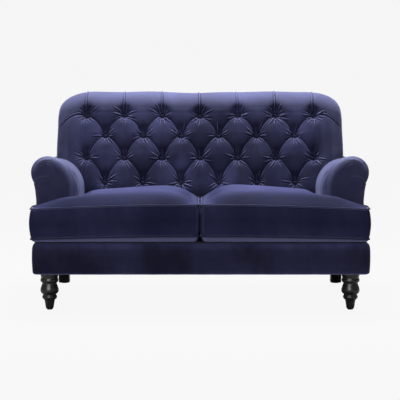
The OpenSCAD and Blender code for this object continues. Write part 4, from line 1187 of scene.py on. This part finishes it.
def inner_wrinkles(y, z):
    """Fine upright wrinkles inside the arm, by the rounded corner."""
    zone = smooth((y + 268) / 30) * smooth((-60 - y) / 110) * smooth((z - 470) / 40) * smooth((640 - z) / 50)
    lean = y + 0.25 * (z - 520)
    return zone * (1.5 * np.sin(lean / 6.4 + 1.5 * np.sin(z / 31)) + 0.9 * np.sin(lean / 3.7 + z / 40))


def painted_front_light(x, y, z):
    """Painted highlights on the front face, at its upper and inner rim, along the fold and at the outer edge,
    and painted shade in the hollow below the fold.
    """
    inner = share_out(x, np.maximum(z, ARM_H - INNER_FALL), ARM_TOP_X - ARM_IN, INNER_FALL)
    outer = share_out(x, z, ARM_OUT - ARM_TOP_X, ROLL_FALL)
    outer_band = smooth((outer - 0.42) / 0.5) * smooth((z - 590) / 40)
    band = 0.58 * np.where(x < ARM_TOP_X, smooth((inner - 0.58) / 0.38), outer_band)
    strip = 0.28 * smooth((x - 716) / 16) * smooth((560 - z) / 40)
    fold = 0.42 * hump(z - front_fold(x), 2, 3.4) * smooth((x - 660) / 20) * smooth((750 - x) / 8)
    hollow_shade = -0.34 * hump(x, 688, 34) * hump(z, 556, 24)
    return (band + strip + fold + hollow_shade) * smooth((FACING_Y + 40 - y) / 24)


def arm_cover(name):
    turn = np.linspace(0, math.pi / 2, 29)
    rounding = FACING_Y + INNER_ROUND * (1 - np.cos(turn))
    straight = np.linspace(-224, LEVEL_Y, 78)
    places = np.concatenate([rounding[rounding < -227], straight])
    rings = []
    first = ring_at(FACING_Y, True)
    # Front face: the first ring drawn in towards a spine, ring by ring
    spine_x, spine_low, spine_high = 678.0, 372.0, 606.0
    for k in range(26, 0, -1):
        f = 0.985 * (k / 26)
        spine = np.stack([np.full(len(first), spine_x), clamp(first[:, 1], spine_low, spine_high)], 1)
        xz = lerp(first, spine, f)
        rise = 3.0 * (1 - (1 - f) ** 2)
        y = FACING_Y - rise - front_creases(xz[:, 0], xz[:, 1]) * smooth(f / 0.18)
        rings.append(np.insert(xz, 1, y, 1))
    # Along the arm: round the frame's front, and behind it through the hollow
    for y in places:
        if y > FRONT_Y >= rings[-1][0, 1]:
            rings.append(np.insert(ring_at(FRONT_Y, False), 1, FRONT_Y, 1))
        rings.append(np.insert(ring_at(y, y <= FRONT_Y), 1, y, 1))
    last = ring_at(LEVEL_Y, False)
    for t in np.linspace(0, 1, 22)[1:]:
        rings.append(np.insert(last, 1, lerp(LEVEL_Y, frame_y(last[:, 1]) - 0.3, t), 1))
    arm = laid_sheet(name, rings, closed=True)
    p, n = mm_points(arm), normals_of(arm)
    x, y, z = p.T
    inward = rim_pleats(x, y, z) + inner_wrinkles(y, z) * (n[:, 0] < -0.3)
    soft = np.sin(y / 61 + z / 90) * np.sin(z / 57 + x / 71)
    inward += 0.9 * soft * (z > 330) * ((n[:, 0] < -0.2) | (n[:, 2] > 0.2) | (x > 740))
    move_points(arm, (p - n * inward[:, None]) * MM)
    paint_fold_light(arm, 0.5, painted_front_light(x, y, z))
    return arm


for side, arm in both_sides(arm_cover("right_arm_cover"), "left_arm_cover", 55):
    dress(arm, velvet_arm, stands_for=(side + "_arm_pad", side + "_arm_front"))

# %% [markdown]
# The border is the padded front of the base. Its velvet is stretched over the front
# rail, round the corners and a little way down the sides, so it is one section swept
# along that path. The right end is stuffed a little fuller than the left, as in the
# photograph, and the cloth ripples faintly between its tacks.

# %% Front border
BASE_X, BORDER_Y, BORDER_R = 743.0, -455.0, 34.0
RAIL_LOW = 176.7
SEWN_ON = 0.3


def border_path():
    """Points, outward directions and padding thickness, from the left end round to the right end."""
    quarter = math.pi / 2
    bend = np.linspace(0, quarter, 17)
    front = np.linspace(0, BASE_X - BORDER_R, 150)[:-1]
    side = np.linspace(BORDER_Y + BORDER_R, FRONT_Y - SEWN_ON, 22)[1:]
    xs = np.concatenate([front, BASE_X - BORDER_R + BORDER_R * np.sin(bend), np.full(len(side), BASE_X)])
    ys = np.concatenate([np.full(len(front), BORDER_Y), BORDER_Y + BORDER_R * (1 - np.cos(bend)), side])
    turned = np.concatenate([np.zeros(len(front)), bend, np.full(len(side), quarter)])
    pad = lerp(22.0, 8.0, turned / quarter)
    right = np.stack([xs, ys, np.sin(turned), -np.cos(turned), pad], 1)
    left = right[:0:-1] * [-1, 1, -1, 1, 1]
    return np.concatenate([left, right])


def front_border():
    # The cover in section, as depth behind the front and height, from the top edge to the tacks below
    face = [(20, 308), (15.5, 306.9), (11, 304.3), (7, 300.6), (4, 296.4), (1.8, 291), (0.4, 285)]
    face += [(-1.5 * math.sin(math.pi * t), 285 - 95 * t) for t in np.linspace(0.06, 0.94, 14)]
    face += [(0.2, 186), (0.9, 179), (2.3, 174), (4.6, 170.4), (8, 168.6), (12, 168.9), (14.5, 171)]
    face = np.array(face)
    edge = 1 - np.sin(math.pi * clamp((face[:, 1] - 176) / 128, 0, 1))
    to_tacks = 20 - face[:, 0]
    rows = []
    for x, y, ox, oy, pad in border_path():
        hidden = np.array([(15, RAIL_LOW - 1.7), (29, RAIL_LOW - 1.7), (29, RAIL_LOW), (pad - 0.4, RAIL_LOW),
                           (pad - 0.4, 287.5), (20, 287.5), (20, 308)])
        along = x + 2.3 * (y - BORDER_Y) * math.copysign(1, x)
        ripple = 0.55 * math.sin(along / 43) + 0.45 * math.sin(along / 17.3 + 1.2) + 0.3 * math.sin(along / 9.1)
        fuller = 6.5 * clamp((x - 700) / 43, 0, 1) - 3.0 * clamp((-x - 700) / 43, 0, 1)
        out = face.copy()
        out[:, 0] -= ripple * (0.4 + edge) * smooth(to_tacks / 8) + fuller * smooth(to_tacks / 16)
        ring = np.concatenate([out, hidden])
        rows.append(np.stack([x - ox * ring[:, 0], y - oy * ring[:, 0], ring[:, 1]], 1))
    return laid_sheet("front_border_cover", rows)


border = front_border()
smooth_shade(border, 50)
dress(border, velvet_cover, stands_for=("front_border",))

# %% [markdown]
# The outside arm is a flat velvet panel over thin padding, tacked under the arm roll
# and turned under the side rail. Upright sections from front to rear make one panel.

# %% Outside arms
PANEL_LOW = 168.8
LEVEL_SHARE = 0.62


def outside_arm(name):
    rows = []
    for t in np.linspace(0, 1, 60):
        y = lerp(FRONT_Y, LEVEL_Y, min(t / LEVEL_SHARE, 1))
        top = float(arm_top(y)) - TUCK - SEWN_ON
        heights = np.concatenate([[PANEL_LOW], np.linspace(171, top - 1, 34), [top]])
        outer = np.interp(heights, [PANEL_LOW, 172, 300, 480, 530, 560], [741.3, 743, 742, 733, 738, 744])
        if t > LEVEL_SHARE:
            depth = lerp(LEVEL_Y, frame_y(heights) - SEWN_ON, (t - LEVEL_SHARE) / (1 - LEVEL_SHARE))
        else:
            depth = np.full(len(heights), y)
        middle = np.sin(math.pi * clamp((heights - 175) / (top - 175), 0, 1)) * math.sin(math.pi * t)
        outer = outer + 1.6 * middle + 0.5 * np.sin(heights / 47 + 3 * t) * middle
        inner_x = [727.3, 727.3, 735.3, 735.3, 715, 715, 736.5]
        inner_z = [top, 288.5, 287, 176.6, 176.6, 175, 174.4]
        rows.append([*zip(outer, depth, heights), *zip(inner_x, np.interp(inner_z, heights, depth), inner_z)])
    return laid_sheet(name, rows, closed=True)


for side, panel in both_sides(outside_arm("right_outside_arm_cover"), "left_outside_arm_cover", 50):
    dress(panel, velvet_cover, stands_for=(side + "_outside_arm",))

# %% [markdown]
# The outside back closes the frame behind. It is one flat panel that leans with the
# frame, follows the arm rolls at both sides and stops below the top roll, where it is
# slip-stitched. It is laid row by row between its two edges.

# %% Outside back
ROLL_MIDDLE = ARM_TOP_REAR - ROLL_FALL


def back_half_width(z):
    """Half of the panel's width at a height: base, waist, round the arm roll, then the back."""
    if z <= ROLL_MIDDLE:
        levels = [169, 172, 300, 480, 508, 524, ROLL_MIDDLE]
        return float(np.interp(z, levels, [739.5, 741, 740, 733, 743, 754, ARM_OUT]))
    if z < ARM_TOP_REAR:
        out = math.sqrt(1 - ((z - ROLL_MIDDLE) / ROLL_FALL) ** 2)
        return max(ARM_TOP_X + (ARM_OUT - ARM_TOP_X) * out, HALF_BACK - 1)
    across = np.linspace(CORNER_X, HALF_BACK - 1, 400)
    reached = across[fallen(across, 790.0) - 1.3 >= z]
    return float(reached.max()) if len(reached) else CORNER_X


def outside_back():
    rows = []
    levels = np.concatenate([[PANEL_LOW], np.linspace(171, 700, 84), np.linspace(704, 786, 30), [788.3, 788.7]])
    for z in levels:
        wide = back_half_width(z)
        across = np.linspace(-1, 1, 111) * wide
        pillow = 1.5 * np.cos(across / wide * math.pi / 2) * math.sin(math.pi * (z - 168) / 622)
        pull = 0.5 * np.sin(across / 29 + z / 90) * math.exp(-(788 - z) / 30)
        edge = 2.0 * clamp((np.abs(across) - wide + 5) / 5, 0, 1) ** 2
        edge += 2.5 * clamp((z - 783) / 5.7, 0, 1) ** 2
        outer = frame_y(z) + 6 + pillow + pull - edge
        inner = frame_y(z) + 0.1
        rows.append([(x, y, z) for x, y in zip(across, outer)]
                    + [(x, inner, z) for x in [*across[::-6], across[0]]])
    return laid_sheet("outside_back_cover", rows, closed=True)


back_panel = outside_back()
smooth_shade(back_panel, 50)
dress(back_panel, velvet_cover, stands_for=("outside_back",))

# %% [markdown]
# The front legs are turned in one piece on a lathe, so half of the outline is drawn
# with a run of points and spun round the leg's axis. From the top: a collar with a
# bead, a groove, a pear-shaped ball, a ring and a tapered foot.

# %% Turned front legs
LEG_X, FRONT_LEG_Y = 670.0, -365.0
# Radius and height of the outline, from the glide up
TURNING = [(0, 3.1), (13, 3.1), (15.6, 4.4), (17.2, 8), (18.8, 16.4), (20.6, 30), (22.2, 39), (24.2, 44.4),
           (27.2, 47.6), (30, 49.6), (32.2, 53), (33, 56.8), (32.4, 60.6), (30.5, 64), (29.3, 66), (29.3, 68),
           (30.6, 70.2), (34.6, 73.4), (38.4, 78), (40.6, 84), (40.8, 90), (39, 98), (36.2, 106), (33.6, 113),
           (32, 118), (32.2, 121), (35, 123.2), (38.6, 126), (40.2, 130), (40.2, 134.5), (38.8, 138.6),
           (37, 142), (37, 145), (38.4, 148.5), (39.8, 156), (40.4, 173.6), (39.2, 174.7), (0, 174.7)]


def turned_leg(name):
    pick()
    bpy.ops.mesh.primitive_plane_add(size=MM)
    leg = named(name)
    bpy.ops.object.mode_set(mode="EDIT")
    bpy.ops.mesh.select_mode(type="VERT")
    bpy.ops.mesh.select_all(action="SELECT")
    bpy.ops.mesh.merge(type="CENTER")
    bpy.ops.transform.translate(value=(0, 0, TURNING[0][1] * MM))
    for (r0, z0), (r1, z1) in zip(TURNING[:-1], TURNING[1:]):
        bpy.ops.mesh.extrude_region_move(TRANSFORM_OT_translate={"value": ((r1 - r0) * MM, 0, (z1 - z0) * MM)})
    bpy.ops.mesh.select_all(action="SELECT")
    bpy.ops.mesh.spin(steps=72, angle=2 * math.pi, center=(0, 0, 0), axis=(0, 0, 1))
    bpy.ops.mesh.select_all(action="SELECT")
    merge_points()
    turn_outwards()
    bpy.ops.transform.translate(value=(LEG_X * MM, FRONT_LEG_Y * MM, 0))
    bpy.ops.object.mode_set(mode="OBJECT")
    return leg


for side, leg in both_sides(turned_leg("front_right_turned_leg"), "front_left_turned_leg", 40):
    dress(leg, lacquer, stands_for=("front_" + side + "_leg",))

# %% [markdown]
# The rear legs are plain sawn posts, raked backwards and a little thinner at the
# foot. A block has its foot moved back and drawn in, and its edges broken.

# %% Rear legs
def raked_leg(name):
    pick()
    bpy.ops.mesh.primitive_cube_add(size=1)
    leg = named(name)
    x, y, z = points_of(leg).T
    foot = z < 0
    side = np.where(foot, 52.0, 56.0)
    middle_y = np.where(foot, 373.7, 328.7)
    placed_at = [LEG_X + x * side, middle_y + y * side, np.where(foot, TURNING[0][1], RAIL_LOW)]
    move_points(leg, np.stack(placed_at, 1) * MM)
    broken = leg.modifiers.new("broken_edges", "BEVEL")
    broken.width = 2.5 * MM
    broken.segments = 3
    apply_modifiers(leg)
    return leg


for side, leg in both_sides(raked_leg("rear_right_raked_leg"), "rear_left_raked_leg", 40):
    dress(leg, lacquer, stands_for=("rear_" + side + "_leg",))

# %% [markdown]
# The photograph is a catalogue cut-out on a pale ground with almost no shadow.
# The floor and backdrop are that pale colour for the camera, and take only a
# faint shadow, while the object is lit by two broad soft lights, one above and one
# in front, as large windows give, and a dim even sky.

# %% Floor, backdrop and light
GROUND = (0.965, 0.965, 0.965)
SEEN_SHARE, BACKDROP = 0.95, 0.9165
SKY_LIGHT = 0.15


def pale_ground():
    """A matt floor that the camera sees almost wholly as the pale ground, with a faint shadow."""
    finish, tree, shader = principled("pale_ground")
    set_values(shader, {"Base Color": (0.28, 0.28, 0.28, 1), "Roughness": 1.0, "Specular IOR Level": 0.0})
    glow = tree.nodes.new("ShaderNodeEmission")
    glow.inputs["Color"].default_value = (*GROUND, 1)
    path = tree.nodes.new("ShaderNodeLightPath")
    seen = maths(tree, "MULTIPLY", path.outputs["Is Camera Ray"], SEEN_SHARE)
    mix = tree.nodes.new("ShaderNodeMixShader")
    tree.links.new(seen, mix.inputs["Fac"])
    tree.links.new(shader.outputs["BSDF"], mix.inputs[1])
    tree.links.new(glow.outputs["Emission"], mix.inputs[2])
    tree.links.new(mix.outputs["Shader"], tree.nodes["Material Output"].inputs["Surface"])
    return finish


ground = pale_ground()
pick()
bpy.ops.mesh.primitive_plane_add(size=60, location=(0, 0, 0))
floor = bpy.context.object
floor.name = "floor"
floor.data.materials.append(ground)

world = bpy.data.worlds.new("studio")
bpy.context.scene.world = world
world.use_nodes = True
sky = world.node_tree
backdrop = sky.nodes["Background"]
path = sky.nodes.new("ShaderNodeLightPath")
seen = maths(sky, "MAXIMUM", path.outputs["Is Camera Ray"], path.outputs["Is Transmission Ray"])
backdrop.inputs["Color"].default_value = (1, 1, 1, 1)
sky.links.new(ranged(sky, seen, 0, 1, SKY_LIGHT, BACKDROP), backdrop.inputs["Strength"])


def soft_light(name, at, aim, size, power):
    pick()
    bpy.ops.object.light_add(type="AREA", location=at)
    lamp = bpy.context.object
    lamp.name = name
    lamp.data.shape = "RECTANGLE"
    lamp.data.size, lamp.data.size_y = size
    lamp.data.energy = power
    lamp.rotation_euler = (Vector(aim) - Vector(at)).to_track_quat("-Z", "Y").to_euler()
    print(name, "power in watts", power)


soft_light("window_above", (0, 0.55, 3.0), (0, -0.1, 0.5), (3.0, 1.4), 245)
soft_light("window_front", (-1.3, -5.6, 2.3), (0, 0, 0.5), (3.4, 2.0), 125)
bpy.context.scene.view_settings.view_transform = "Standard"
